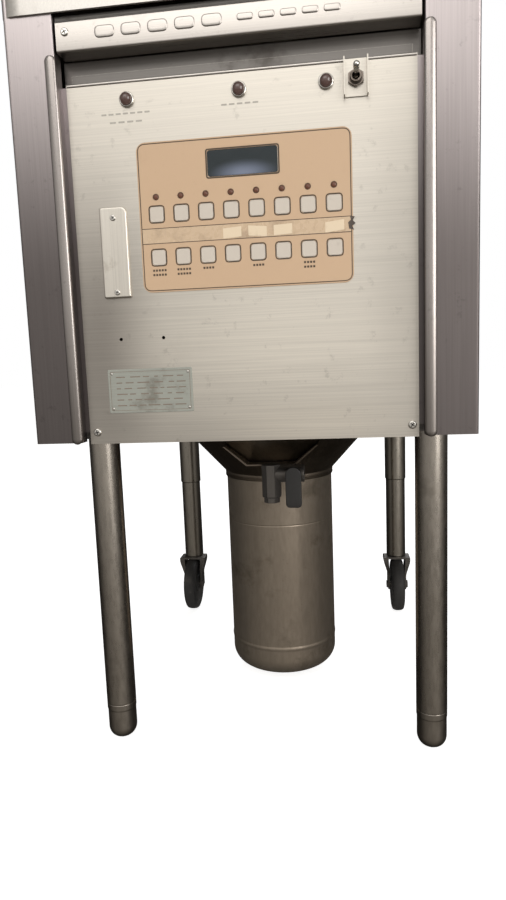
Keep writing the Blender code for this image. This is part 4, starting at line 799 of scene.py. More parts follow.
# %% Printed frames, one ring a key


def printed_ring(centre, width, height, corner, line, face_y, thick=0.00012):
    """A flat ring: an outer and an inner rounded rectangle at two depths, joined all round."""
    outer = rectangle(width, height, corner, 6)
    inner = rectangle(width - 2 * line, height - 2 * line, max(corner - line, 0.0003), 6)
    order = ((outer, face_y), (outer, face_y - thick), (inner, face_y - thick), (inner, face_y))
    spots = [standing(ring, y, *centre) for ring, y in order]
    return grid(np.stack(spots), wrap_u=True, wrap_v=True)


def printed_bar(x, z, width, height, face_y, thick=0.00012, corner=0.0002):
    """A thin bar on a face, as if printed there."""
    return facing(prism_shell(rectangle(width, height, corner, 2), face_y - thick, face_y), x, z)


film_low, film_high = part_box("keypad_overlay")
film_middle = (film_low + film_high) / 2
rings = [
    printed_ring(
        (film_middle.x, film_middle.z), film_high.x - film_low.x - 0.0024,
        film_high.z - film_low.z - 0.0024, 0.008, 0.0009, FILM_FACE
    )
]
window = middle("display_window")
window_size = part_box("display_window")[1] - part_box("display_window")[0]
rings.append(
    printed_ring(
        (window.x, window.z), window_size.x + 0.0040, window_size.z + 0.0040, 0.003, 0.0014, FILM_FACE
    )
)
for name in KEYS:
    spot = middle(name)
    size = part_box(name)[1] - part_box(name)[0]
    rings.append(printed_ring((spot.x, spot.z), size.x + 0.0030, size.z + 0.0030, 0.0041, 0.00105, FILM_FACE))
piece("printed_frames", rings, PRINT, "cabinet")
print("printed frames:", len(rings))

# %% [markdown]
# The words under the lower keys are left out. Rows of short dashes of the same size and colour keep the
# printed look of the film.
# %% Dashes under the keys


def dashes(x, z, width, count, height, face_y):
    """A row of small bars with even gaps, centred on x."""
    pitch = width / count
    return [
        printed_bar(x + pitch * (k - (count - 1) / 2), z, pitch * 0.68, height, face_y)
        for k in range(count)
    ]


def key_captions():
    """One or two rows of dashes under some keys of the lower row."""
    rows = {1: (5, 5), 2: (5, 5), 3: (4,), 5: (4,), 7: (4, 4)}
    bars = []
    for column, counts in rows.items():
        spot = middle(f"key_2_{column}")
        for line, count in enumerate(counts):
            z = spot.z - 0.0128 - 0.0044 * line
            bars += dashes(spot.x, z, 0.0030 * count, count, 0.0021, FILM_FACE)
    piece("key_captions", bars, PRINT, "cabinet")
    return len(bars)


print("dashes under the keys:", key_captions())

# %% Small lamps, label strip and tape
LED_Z = 0.6541
LED_R = 0.0026
columns = [middle(f"key_1_{c}").x for c in range(1, 9)]
leds = []
for x in columns:
    dome = [(LED_R, 0.0), (LED_R, 0.0004)]
    dome += [
        (LED_R * math.cos(b), 0.0004 + LED_R * 0.5 * math.sin(b)) for b in np.linspace(0.2, math.pi / 2, 6)
    ]
    leds.append(turned_shell([(0, 0.0)] + dome, (x, FILM_FACE, LED_Z), FRONT_TO_BACK, 28))
piece("key_leds", leds, LED, "cabinet")
led_rings = [
    turned_shell(
        [(LED_R + 0.0001, 0.0), (LED_R + 0.0001, 0.00025), (LED_R + 0.0006, 0.0002), (LED_R + 0.0006, 0.0)],
        (x, FILM_FACE, LED_Z), FRONT_TO_BACK, 28, closed=True
    )
    for x in columns
]
piece("led_rings", led_rings, PRINT, "cabinet")
strip_z = (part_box("key_1_1")[0].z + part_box("key_2_1")[1].z) / 2
strip = [
    printed_bar(film_middle.x, strip_z + dz, film_high.x - film_low.x - 0.004, 0.0007, FILM_FACE)
    for dz in (-0.0074, 0.0074)
]
piece("label_strip_lines", strip, PRINT, "cabinet")
band_x = (film_low.x + film_high.x) / 2
band = [printed_bar(band_x, strip_z, film_high.x - film_low.x - 0.003, 0.0142, FILM_FACE, 0.00010)]
piece("label_strip", band, STRIP, "cabinet")
torn = np.array([(0, -0.0055), (0.0048, -0.0068), (0.0030, -0.0030), (0.0062, -0.0005), (0.0036, 0.0024)])
torn = np.concatenate([torn, [(0.0056, 0.0058), (0.0010, 0.0066), (0.0018, 0.0030), (-0.0008, 0.0004)]])
torn_end = prism_shell(torn, FILM_FACE - 0.00035, FILM_FACE - 0.00002)
torn_end = facing(torn_end, film_high.x - 0.0040, strip_z + 0.001)
piece("torn_strip_end", [torn_end], CHIP, "cabinet")
tapes = []
for order, column in enumerate((4, 5, 6, 8)):
    lean = (0.0006, -0.0009, 0.0004, 0.0010)[order]
    outline = rectangle(0.0185, 0.0098, 0.0004, 2)
    outline = outline + np.column_stack([0 * outline[:, 0], outline[:, 0] * lean / 0.0092])
    tape = prism_shell(outline, FILM_FACE - 0.00022, FILM_FACE)
    tapes.append(facing(tape, columns[column - 1], strip_z - 0.001))
piece("label_tapes", tapes, TAPE, "cabinet")
print("leds:", len(leds), "tapes:", len(tapes))

# %% [markdown]
# ## Lamps, switch and small plates
# The indicator lamps are domed lenses in bright bezels. The toggle is a hexagonal nut on a
# threaded bushing with a bat-shaped lever. All are turned profiles except the nut, which is a hexagon
# with its corners taken off.
# %% Indicator lamps


def indicator(name):
    """A bezel ring and a lens whose dome is a quarter of an ellipse."""
    low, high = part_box(name)
    x, z = (low.x + high.x) / 2, (low.z + high.z) / 2
    bezel, lens = (high.x - low.x) / 2, 0.0060
    proud = PANEL_Y - low.y
    ring = rounded(
        [
            (lens + 0.0001, 0.0), (lens + 0.0001, 0.0026), (bezel - 0.0002, 0.0022), (bezel, 0.0003),
            (bezel - 0.0004, 0.0001)
        ],
        [0, 0.0005, 0.0008, 0.0002, 0], True, 4
    )
    turned(name + "_bezel", ring, (x, PANEL_Y, z), BRIGHT, "cabinet", FRONT_TO_BACK, name, 64, True)
    t = np.linspace(0, math.pi / 2, 14)
    dome = [(lens, 0.0004), (lens, proud * 0.45)]
    dome += [(lens * math.cos(b), proud * (0.45 + 0.55 * math.sin(b))) for b in t[1:]]
    grooves = [(r - 0.00012 * (k % 2), h) for k, (r, h) in enumerate(dome[:-1])] + [dome[-1]]
    turned(
        name + "_lens", [(0, 0.0004)] + grooves, (x, PANEL_Y, z), LENS, "cabinet",
        FRONT_TO_BACK, (), 64
    )


for label in ("left", "centre", "right"):
    indicator("lamp_" + label)
print("three lamps")

# %% Toggle switch, its nut and its lever
SWITCH = pivot("power_switch")


def toggle_bushing():
    """A threaded tube: its radius follows a sine of height; with it, a chamfered hexagonal nut."""
    proud = PANEL_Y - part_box("toggle_bushing")[0].y
    outer = 0.0058
    h = np.linspace(0.0018, proud - 0.0006, 60)
    thread = np.column_stack([outer - 0.0002 + 0.0002 * np.sin(h * math.tau / 0.0008), h])
    profile = [(0.0036, 0.0010), (0.0036, proud - 0.0003), (0.0040, proud), (outer - 0.0006, proud)]
    profile = np.concatenate([profile, thread[::-1], [(0.0048, 0.0016), (0.0048, 0.0010)]])
    parts = [turned_shell(profile, (SWITCH.x, PANEL_Y, SWITCH.z), FRONT_TO_BACK, 48, True)]
    a = np.linspace(0, math.tau, 72, endpoint=False)
    across = 0.0143 / 2
    hexagon = across / np.cos((a + math.pi / 6) % (math.pi / 3) - math.pi / 6)
    rings = []
    for cap, height in ((0.92, 0.0018), (1.0, 0.0022), (1.0, 0.0042), (0.92, 0.0046), (0.62, 0.0046)):
        radius = np.minimum(hexagon, across / math.cos(math.pi / 6) * cap)
        radius = np.minimum(radius, outer - 0.0002) if cap < 0.9 else radius
        rings.append(np.stack([radius * np.cos(a), radius * np.sin(a), np.full(72, height)], -1))
    rings.append(rings[-1] * np.array([1, 1, 0]) + np.array([0, 0, 0.0018]))
    points, faces = grid(np.stack(rings), wrap_u=True, wrap_v=True)
    parts.append((moved(points, FRONT_TO_BACK, (SWITCH.x, PANEL_Y, SWITCH.z)), faces))
    piece("toggle_bushing_threaded", parts, BRONZE, "cabinet", "toggle_bushing")


def toggle_lever():
    """A bat: the shaft widens smoothly towards a round tip."""
    length, tip, neck = 0.0204, 0.0032, 0.0017
    s = np.linspace(0, 1, 24)
    radius = neck + (tip - neck) * (3 * s**2 - 2 * s**3)
    height = 0.0030 + s * (length - tip - 0.0030)
    b = np.linspace(0, math.pi / 2, 10)[1:]
    profile = np.concatenate(
        [
            [(0, -0.0029), (0.0016, -0.0024), (0.0027, -0.0008), (0.0028, 0.0006), (0.0022, 0.0020)],
            np.column_stack([radius, height]),
            np.column_stack([tip * np.cos(b), length - tip + tip * np.sin(b)]),
        ]
    )
    tilt = Matrix.Rotation(math.radians(-13), 4, "X") @ FRONT_TO_BACK
    turned("toggle_lever_bat", profile, SWITCH, BRIGHT, "toggle_lever", tilt, "toggle_lever", 40)


toggle_bushing()
toggle_lever()
print("toggle at", [round(v, 4) for v in SWITCH])

# %% Screws and rivets


def screw_head(x, z, face_y, radius, dome=0.35):
    """A pan head: a flat disc whose rim is a quarter circle."""
    height = radius * dome
    b = np.linspace(0, math.pi / 2, 7)
    profile = [(0, 0.0), (radius, 0.0)]
    profile += [(radius - height * (1 - math.cos(c)), height * math.sin(c)) for c in b]
    profile.append((0, height * 1.02))
    return turned_shell(profile, (x, face_y, z), FRONT_TO_BACK, 36)


def screw_recess(x, z, face_y, radius, turn, dome=0.35):
    """The cross recess in the head, drawn as two black bars a hair above it: painted shade."""
    height = radius * dome * 1.02
    crosses = []
    for extra in (0, math.pi / 2):
        outline = rectangle(radius * 1.15, radius * 0.24, radius * 0.08, 2)
        c, s = math.cos(turn + extra), math.sin(turn + extra)
        outline = outline @ np.array([[c, s], [-s, c]])
        bar = prism_shell(outline, face_y - height - 0.00008, face_y - height + 0.0003)
        crosses.append(facing(bar, x, z))
    return crosses


header_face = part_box("header_strip")[0].y
cover = middle("cover_plate")
cover_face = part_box("cover_plate")[0].y
SCREWS = [
    (-0.1662, 0.8123, header_face, 0.0040, 0.4), (0.1662, 0.8123, header_face, 0.0040, 1.1),
    (-0.1647, 0.4169, PANEL_Y, 0.0043, 0.2), (0.1660, 0.4167, PANEL_Y, 0.0043, 0.9),
    (cover.x, 0.6363, cover_face, 0.0031, 0.5), (cover.x, 0.5620, cover_face, 0.0031, 1.3)
]
heads = [screw_head(x, z, face, r) for x, z, face, r, _ in SCREWS]
crosses = [bar for x, z, face, r, turn in SCREWS for bar in screw_recess(x, z, face, r, turn)]
piece("screw_heads", heads, BRIGHT, "cabinet")
# The black crosses are painted shade for the screws' recesses.
piece("screw_recess_shade", crosses, BLACK, "cabinet")
print("screws:", len(SCREWS))

# %% Rating plate and printed captions
PLATE_LOW, PLATE_HIGH = (-0.149, 0.437), (-0.058, 0.483)


def rating_plate():
    """A thin etched plate with rows of plain dashes and a blank field, held by four rivets."""
    width, height = PLATE_HIGH[0] - PLATE_LOW[0], PLATE_HIGH[1] - PLATE_LOW[1]
    x, z = (PLATE_HIGH[0] + PLATE_LOW[0]) / 2, (PLATE_HIGH[1] + PLATE_LOW[1]) / 2
    face = PANEL_Y - 0.0007
    plate = pillow(Vector((x, 0, z)), width, height, 0.0016, PANEL_Y, face, 0.0003)
    piece("rating_plate", [plate], PLATE, "cabinet")
    lines = [printed_ring((x, z), width - 0.005, height - 0.005, 0.0012, 0.0004, face)]
    rng = np.random.default_rng(7)
    for row in range(6):
        dash_z = z + height * (0.32 - 0.13 * row)
        start = x - width * 0.40
        while start < x + width * 0.34:
            dash = float(rng.uniform(0.004, 0.013))
            lines.append(printed_bar(start + dash / 2, dash_z, dash, 0.0010, face))
            start += dash + float(rng.uniform(0.002, 0.006))
    piece("plate_lines", lines, MARK, "cabinet")
    rivets = [
        screw_head(x + sx * (width / 2 - 0.0045), z + sz * (height / 2 - 0.0045), face, 0.0014, dome=0.5)
        for sx in (-1, 1) for sz in (-1, 1)
    ]
    piece("plate_rivets", rivets, BRIGHT, "cabinet")


def captions():
    """Engraved words are left out: short even dashes stand where they were."""
    bars = []
    for left, right, z in ((-0.139, -0.087, 0.7365), (-0.131, -0.095, 0.7285), (-0.017, 0.022, 0.7365)):
        count = max(2, round((right - left) / 0.008))
        pitch = (right - left) / count
        bars += [printed_bar(left + pitch * (k + 0.5), z, pitch * 0.7, 0.0016, PANEL_Y) for k in range(count)]
    piece("caption_dashes", bars, ETCH, "cabinet")


rating_plate()
captions()
print("rating plate and captions")

# %% Cover plate


def cover_plate():
    """A folded blank with one larger corner and a rounded edge all round."""
    low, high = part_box("cover_plate")
    width, height = high.x - low.x, high.z - low.z
    rings = []
    steps = ((0, 0), (0, -0.0012), (0.0003, -0.0005), (0.0010, 0.0), (0.0016, 0.0))
    for inset, back in steps:
        y = high.y if (inset, back) == (0, 0) else low.y - back
        w, h = width / 2 - inset, height / 2 - inset
        outline = rounded([(-w, -h), (w, -h), (w, h), (-w, h)], [0.0018, 0.0018, 0.006, 0.0018], True, 8)
        rings.append(standing(outline, y, cover.x, cover.z))
    piece("cover_plate_folded", [capped(rings)], COVER, "cabinet", "cover_plate")


cover_plate()
print("cover plate")

# %% [markdown]
# ## Legs, feet and casters
# Tubes show every flat in a highlight, so the legs, feet and wheels are turned again with a hundred sides
# and softened rims. The tube ends keep the thin dark line where the foot screws in.
# %% Legs and feet


def leg_tube(name, material, sleeve=None):
    """A tube with a softened rim at each end, and a wider sleeve above its seam if it has one."""
    low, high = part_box(name)
    centre = middle(name)
    r = (high.x - low.x) / 2
    wall = 0.0022
    slim = r if sleeve is None else r - 0.0015
    profile = [(r, high.z)]
    if sleeve:
        profile += [(r, sleeve + 0.001), (r, sleeve), (slim, sleeve - 0.0006)]
    profile += [(slim, low.z), (slim - wall, low.z), (slim - wall, high.z)]
    path = rounded(profile, 0.0008, True, 4)
    turned(
        name + "_tube", path, (centre.x, centre.y, 0), material, "cabinet", UPRIGHT, name,
        96, True
    )


def bullet_foot(name):
    """The foot's nose is an ellipse: the radius shrinks to the flat end as height goes to zero."""
    low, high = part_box(name)
    centre = middle(name)
    r = (high.x - low.x) / 2
    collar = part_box(name.replace("foot", "leg"))[0].z - 0.0003
    t = np.linspace(0, math.pi / 2, 12)
    flat = 0.0058
    nose = np.column_stack([flat + (r - 0.0006 - flat) * np.sin(t), 0.0145 * (1 - np.cos(t))])
    stem = r - 0.0035
    top = [
        (r - 0.0006, collar - 0.009), (r, collar - 0.0075), (r, collar), (stem, collar), (stem, high.z),
        (0, high.z)
    ]
    profile = np.concatenate([[(0, 0.0)], nose, rounded(top, [0, 0.0006, 0.0006, 0, 0.001, 0], False, 3)])
    turned(name + "_bullet", profile, (centre.x, centre.y, 0), TUBE, name, UPRIGHT, name, 96)


for label in ("left", "right"):
    leg_tube("front_leg_" + label, TUBE)
    bullet_foot("front_foot_" + label)
    leg_tube("rear_leg_" + label, REAR, sleeve=0.256)
print("four legs and two feet")

# %% Casters


def caster(label):
    """The wheel's tread is a shallow arc; the fork is a bent strap, thick at the top."""
    fork, wheel = "caster_fork_" + label, "caster_wheel_" + label
    low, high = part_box(wheel)
    hub = middle(wheel)
    r, half = (high.z - low.z) / 2, (high.x - low.x) / 2
    t = np.linspace(-0.9, 0.9, 15)
    tread = np.column_stack([r - 0.0035 * np.abs(t) ** 3, t * (half - 0.0012)])
    side = [(0.0054, -half), (0.0150, -half), (0.0165, -half + 0.0036), (0.0330, -half + 0.0036)]
    side += [(0.0350, -half + 0.0012), (r - 0.0062, -half + 0.0008)]
    profile = np.concatenate([side, tread, [(radius, -x) for radius, x in side[::-1]]])
    path = rounded(profile, 0.0008, True, 3)
    turned(wheel + "_tyre", path, hub, TYRE, wheel, SIDE_TO_SIDE, wheel, 96, True)
    plate_top = 0.104
    cheek, thick = half + 0.0022, 0.003
    outline = [
        (-0.025, plate_top), (-0.025, plate_top - 0.009), (-cheek - thick, hub.z + 0.020),
        (-cheek - thick, hub.z - 0.009), (-cheek, hub.z - 0.009), (-cheek, hub.z + 0.022),
        (-cheek - 0.0015, plate_top - 0.0035)
    ]
    outline += [(-x, z) for x, z in reversed(outline)]
    radii = [0.002, 0.004, 0.004, 0.0012, 0.0008, 0.002, 0.0006]
    path = rounded(outline, radii + radii[::-1], True, 4)
    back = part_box(fork)[0].y
    spots, faces = prism_shell(path, 0, 0.030)
    spots = np.stack([spots[:, 0] + hub.x, spots[:, 2] + back, spots[:, 1]], -1)
    leg = middle("rear_leg_" + label)
    stem = rounded(rod(0.015, plate_top - 0.002, plate_top + 0.030), 0.0008)
    axle = [(0, -0.0202), (0.0044, -0.0202), (0.005, -0.0196), (0.005, 0.0196), (0.0044, 0.0202), (0, 0.0202)]
    out, end = cheek + thick, cheek + thick + 0.0028
    nuts = []
    for side in (-1, 1):
        nut = [(0.0052, side * out), (0.0078, side * out), (0.0074, side * end), (0.0052, side * end)]
        nuts.append(turned_shell(nut, hub, SIDE_TO_SIDE, 6, True))
    parts = [(spots, faces), turned_shell(stem, (leg.x, leg.y, 0), UPRIGHT, 64)]
    parts.append(turned_shell(axle, hub, SIDE_TO_SIDE, 32))
    piece(fork + "_strap", parts + nuts, DARK, fork, fork)


for label in ("left", "right"):
    caster(label)
print("two casters")

# %% [markdown]
# ## Vessel, cone and crumb pot
# The pot is spun steel with a dished end, so its corner is a true quarter of an ellipse. The cone stays as
# the solid model has it, since the drain chute cuts through it, and so only its finish changes.
# %% Pot, clamp and vessel
AXIS = middle("collector")
ON_AXIS = (AXIS.x, AXIS.y, 0)


def collector():
    """The wall runs straight down to a knuckle, with a seam and a weld bead on it, and the end is a shallow
    dish.
    """
    low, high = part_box("collector")
    r = (high.x - low.x) / 2 - 0.0008
    knuckle, wall = 0.025, 0.002
    t = np.linspace(0, math.pi / 2, 20)
    corner = np.column_stack([r - knuckle + knuckle * np.cos(t), low.z + knuckle * (1 - np.sin(t))])
    weld = [(r, 0.0625), (r + 0.0006, 0.0608), (r + 0.0008, 0.0590), (r + 0.0006, 0.0572), (r, 0.0555)]
    seam = [(r, 0.2492), (r - 0.0003, 0.2484), (r - 0.0003, 0.2478), (r, 0.2470)]
    ki = knuckle - wall
    inner = np.column_stack([r - knuckle + ki * np.cos(t), low.z + wall + ki * (1 - np.sin(t))])[::-1]
    rim = rounded([(r - wall, high.z), (r, high.z)], 0)
    profile = np.concatenate([[(0, low.z + wall)], inner, rim, seam, weld, corner, [(0, low.z)]])
    turned("collector_pot", profile, ON_AXIS, POT, "cabinet", UPRIGHT, "collector", 144)


def clamp_band():
    """A band with a shallow groove round it."""
    low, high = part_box("collector_clamp")
    r = (high.x - low.x) / 2
    h = high.z - low.z
    depths = ((0.0006, 0), (0, 0.12), (0, 0.36), (0.0009, 0.44), (0.0009, 0.56), (0, 0.64), (0, 0.88))
    groove = [(r - depth, low.z + h * share) for depth, share in depths] + [(r - 0.0006, high.z)]
    profile = groove[::-1] + [(r - 0.0068, low.z), (r - 0.0018, high.z)]
    profile = np.array(profile)
    turned(
        "collector_clamp_band", profile, ON_AXIS, CONE, "cabinet", UPRIGHT,
        "collector_clamp", 144, True
    )


def vessel():
    """Flange, straight wall, cone and neck as one wall, its inside and outside with softened corners."""
    low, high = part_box("fry_vessel")
    flange_r, flange_low = (high.x - low.x) / 2, high.z - 0.006
    outer, wall, neck = 0.178, 0.003, 0.0752
    cone_top = 0.432
    cone_low = cone_top - (outer - neck) / 0.90
    points = [
        (flange_r, high.z), (flange_r, flange_low), (outer, flange_low), (outer, cone_top),
        (neck, cone_low), (neck, low.z), (neck - wall, low.z), (neck - wall, cone_low + 0.001),
        (outer - wall, cone_top + 0.001), (outer - wall, high.z)
    ]
    radii = [0.0016, 0.0016, 0.001, 0.012, 0.006, 0.0008, 0.0008, 0.006, 0.012, 0.002]
    turned(
        "fry_vessel_spun", rounded(points, radii, True, 6), ON_AXIS, VESSEL, "cabinet",
        UPRIGHT, "fry_vessel", 144, True
    )


collector()
clamp_band()
vessel()
nodes["vessel_skirt"].data.materials.clear()
nodes["vessel_skirt"].data.materials.append(CONE)
print("pot axis at", [round(v, 4) for v in AXIS])

# %% Drain valve and its lever
STEM = pivot("drain_turn")


def drain_valve():
    """A turned body across, an eight-sided spout down, a bonnet and stem forward, and the inlet pipe back."""
    low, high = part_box("drain_valve")
    y = middle("drain_handle").y + 0.0188
    mouth, top = low.z, STEM.z + 0.012
    r = 0.0135
    spout = rounded(
        [
            (0, top), (r, top), (r, mouth + 0.008), (r * 0.83, mouth + 0.007), (r * 0.83, mouth),
            (r * 0.65, mouth), (r * 0.65, mouth + 0.018), (0, mouth + 0.018)
        ],
        [0, 0.001, 0.001, 0.0006, 0.0008, 0.0008, 0.0006, 0], False, 3
    )
    turn = Matrix.Rotation(math.radians(22.5), 4, "Z")
    x = 0.0020
    parts = [turned_shell(spout, (x, y, 0), turn, 8)]
    body = rounded(rod(0.0118, x, STEM.x + 0.0138), 0.0015, False, 4)
    hexes = rounded(rod(0.0120, STEM.x + 0.006, STEM.x + 0.0135), 0.0006, False, 2)
    parts.append(turned_shell(body, (0, y, STEM.z - 0.001), SIDE_TO_SIDE, 48))
    parts.append(turned_shell(hexes, (0, y, STEM.z - 0.001), SIDE_TO_SIDE, 6))
    bonnet = rounded(
        [
            (0, -y - 0.002), (0.0085, -y - 0.002), (0.0085, -y + 0.0125), (0.005, -y + 0.0135),
            (0.005, -y + 0.0158), (0, -y + 0.0158)
        ],
        0.0008, False, 3
    )
    parts.append(turned_shell(bonnet, (STEM.x, 0, STEM.z), FRONT_TO_BACK, 40))
    inlet = rounded(rod(0.006, -high.y, -y), 0.0004, False, 2)
    parts.append(turned_shell(inlet, (STEM.x - 0.004, 0, STEM.z - 0.001), FRONT_TO_BACK, 40))
    piece("drain_valve_turned", parts, DARK, "cabinet", "drain_valve")


def drain_lever():
    """A flat dipped lever: the head is round about the stem and the grip hangs down, with soft edges."""
    low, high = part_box("drain_handle")
    half, length = (high.x - low.x) / 2, STEM.z - low.z
    a = np.linspace(0, math.pi, 24)
    head = np.column_stack([half * np.cos(a), half * np.sin(a)])
    grip = rounded(
        [(-half, -length * 0.2), (-half, -length), (half, -length), (half, -length * 0.2)], 0.006, False, 8
    )
    outline = np.concatenate([head, grip])
    t = np.linspace(0, math.pi / 2, 5)
    soft = 0.0014
    depth = [(soft, high.y)] + [(soft * (1 - math.sin(b)), high.y - soft * (1 - math.cos(b))) for b in t]
    depth += [(soft * (1 - math.cos(b)), low.y + soft * (1 - math.sin(b))) for b in t]
    rings = [standing(outline * (1 - inset / half), y, STEM.x, STEM.z) for inset, y in depth]
    piece("drain_handle_grip", [capped(rings)], BLACK, "drain_handle", "drain_handle")


drain_valve()
drain_lever()
print("drain valve on", [round(v, 4) for v in STEM])

# %% [markdown]
# ## Lid, arm and handwheel
# The lid is a cast dish under a crossbar. A screw through the bar presses it down, and the wheel on top
# turns the screw. The castings get wide rounded edges, which is what separates a casting from a plate.
# %% Lid and seal


def lid_dish():
    """A dome that follows a quarter cosine from the boss to the rim, with a raised bead near the edge."""
    low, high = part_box("lid")
    r, boss = (high.x - low.x) / 2, 0.028
    rim = low.z + 0.012
    s = np.linspace(0, 1, 28)
    dome = np.column_stack([boss + (r - 0.012 - boss) * s, rim + 0.013 * np.cos(s * math.pi / 2)])
    b = np.linspace(0, math.pi, 9)
    bead = np.column_stack([r - 0.010 + 0.0032 * -np.cos(b), rim + 0.0018 * np.sin(b)])
    top = [(0, high.z), (boss - 0.004, high.z), (boss - 0.001, high.z - 0.001), (boss, high.z - 0.004)]
    side = rounded(
        [(r - 0.0055, rim), (r, rim), (r, low.z), (r - 0.02, low.z)], [0, 0.003, 0.0015, 0], False, 5
    )
    profile = np.concatenate([top, dome, bead, side, [(0, low.z)]])
    turned("lid_dish", profile, ON_AXIS, CAST, "lid", UPRIGHT, "lid", 144)


def seal_ring():
    """A square section with wide round corners, turned about the pot's axis."""
    low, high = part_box("lid_gasket")
    outer, inner = (high.x - low.x) / 2, 0.176
    ring = rounded([(outer, high.z), (outer, low.z), (inner, low.z), (inner, high.z)], 0.0022, True, 6)
    turned("lid_seal", ring, ON_AXIS, SEAL, "lid", UPRIGHT, "lid_gasket", 144, True)


lid_dish()
seal_ring()
print("lid and seal")

# %% Crossbar
HINGE = pivot("lid_arm_hinge")


def rounded_bar(low, high, corner, steps=5):
    """A bar along y: a rounded rectangle section that shrinks at both ends by a quarter circle."""
    width, height = high.x - low.x, high.z - low.z
    centre = ((low.x + high.x) / 2, (low.z + high.z) / 2)
    t = np.linspace(0, math.pi / 2, steps)
    ends = [(corner * (1 - math.sin(b)), low.y + corner * (1 - math.cos(b))) for b in t]
    ends += [(corner * (1 - math.sin(b)), high.y - corner * (1 - math.cos(b))) for b in t[::-1]]
    rings = []
    for inset, y in ends:
        outline = rectangle(width - 2 * inset, height - 2 * inset, corner, 6, centre)
        rings.append(standing(outline, y))
    return capped(rings)


def crossbar():
    """The bar from nose to hinge, with a boss round the screw, an eye round the pin, and the nose's pin."""
    low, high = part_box("lid_arm")
    bottom, height, width = 0.925, 0.024, 0.040
    nose_y = low.y
    bar_low = Vector((-width / 2, nose_y + 0.021, bottom))
    bar_high = Vector((width / 2, HINGE.y - 0.012, bottom + height))
    rib_low = Vector((-0.005, nose_y + 0.050, bottom + height - 0.006))
    rib_high = Vector((0.005, AXIS.y - 0.024, bottom + height + 0.0075))
    rear_low = Vector((-0.005, AXIS.y + 0.024, rib_low.z))
    rear_high = Vector((0.005, HINGE.y - 0.020, rib_high.z))
    ribs = [rounded_bar(rib_low, rib_high, 0.004), rounded_bar(rear_low, rear_high, 0.004)]
    boss = rounded(
        [
            (0.0118, bottom - 0.0008), (0.030, bottom - 0.0008), (0.030, bottom + height + 0.004),
            (0.026, high.z), (0.0118, high.z)
        ],
        [0.0006, 0.002, 0.003, 0.003, 0.001], True, 5
    )
    parts = [rounded_bar(bar_low, bar_high, 0.005), *ribs, turned_shell(boss, ON_AXIS, UPRIGHT, 72, True)]
    eye = rounded([(0.0066, -0.0198), (0.017, -0.0198), (0.017, 0.0198), (0.0066, 0.0198)], 0.0015, True, 4)
    parts.append(turned_shell(eye, HINGE, SIDE_TO_SIDE, 56, True))
    tip_low = Vector((-0.007, nose_y, bottom + 0.001))
    tip_high = Vector((0.007, nose_y + 0.030, bottom + height - 0.001))
    parts.append(rounded_bar(tip_low, tip_high, 0.0025))
    piece("lid_arm_casting", parts, CAST, "lid_arm", "lid_arm")


crossbar()
print("crossbar, hinge at", [round(v, 4) for v in HINGE])

# %% Handwheel and screw


def torus(radius, tube, centre, sides=120, around=24, lobes=0):
    """Rings of the tube's circle carried round; lobes make a finger grip on the outside."""
    u = np.linspace(0, math.tau, sides, endpoint=False)[:, None]
    v = np.linspace(0, math.tau, around, endpoint=False)[None]
    grip = tube * (1 - 0.06 * (0.5 - 0.5 * np.cos(lobes * u))) if lobes else tube + 0 * u
    ring = radius + grip * np.cos(v)
    points = np.stack([ring * np.cos(u), ring * np.sin(u), grip * np.sin(v)], -1) + np.array(centre)
    return grid(points, wrap_u=True, wrap_v=True)


def handwheel():
    """Rim with shallow grips, four oval spokes, a hub, and below it the threaded screw."""
    low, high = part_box("spindle_handwheel")
    rim_z, rim_r, tube = 0.998, 0.072, 0.009
    centre = (AXIS.x, AXIS.y, rim_z)
    parts = [torus(rim_r, tube, centre, lobes=24)]
    s = np.linspace(0, 1, 9)[:, None]
    v = np.linspace(0, math.tau, 20, endpoint=False)[None]
    for k in range(4):
        a = math.tau * (k + 0.5) / 4
        out = 0.012 + (rim_r - 0.014) * s
        half = 0.0085 - 0.003 * s
        rise = 0.0052 * np.sin(v) + 0.002 * np.sin(math.pi * s)
        spots, faces = capped(np.stack([out + 0 * v, half * np.cos(v), rise], -1))
        parts.append((moved(spots, Matrix.Rotation(a, 4, "Z"), centre), faces))
    hub = rounded(
        [
            (0, high.z), (0.015, high.z), (0.022, high.z - 0.006), (0.022, rim_z - 0.014),
            (0.013, rim_z - 0.018), (0, rim_z - 0.018)
        ],
        [0, 0.004, 0.004, 0.003, 0.001, 0], False, 6
    )
    parts.append(turned_shell(hub, ON_AXIS, UPRIGHT, 72))
    piece("handwheel_rim_and_hub", parts, BLACK, "spindle_handwheel", "spindle_handwheel")
    z = np.linspace(rim_z - 0.017, low.z + 0.001, 160)
    thread = np.column_stack([0.0105 + 0.0005 * np.sin(z * math.tau / 0.004), z])
    screw = np.concatenate([[(0, z[0])], thread, [(0.008, low.z), (0, low.z)]])
    turned("pressing_screw", screw, ON_AXIS, BRIGHT, "spindle_handwheel", UPRIGHT, (), 64)


handwheel()
print("handwheel and screw")

# %% Front latch


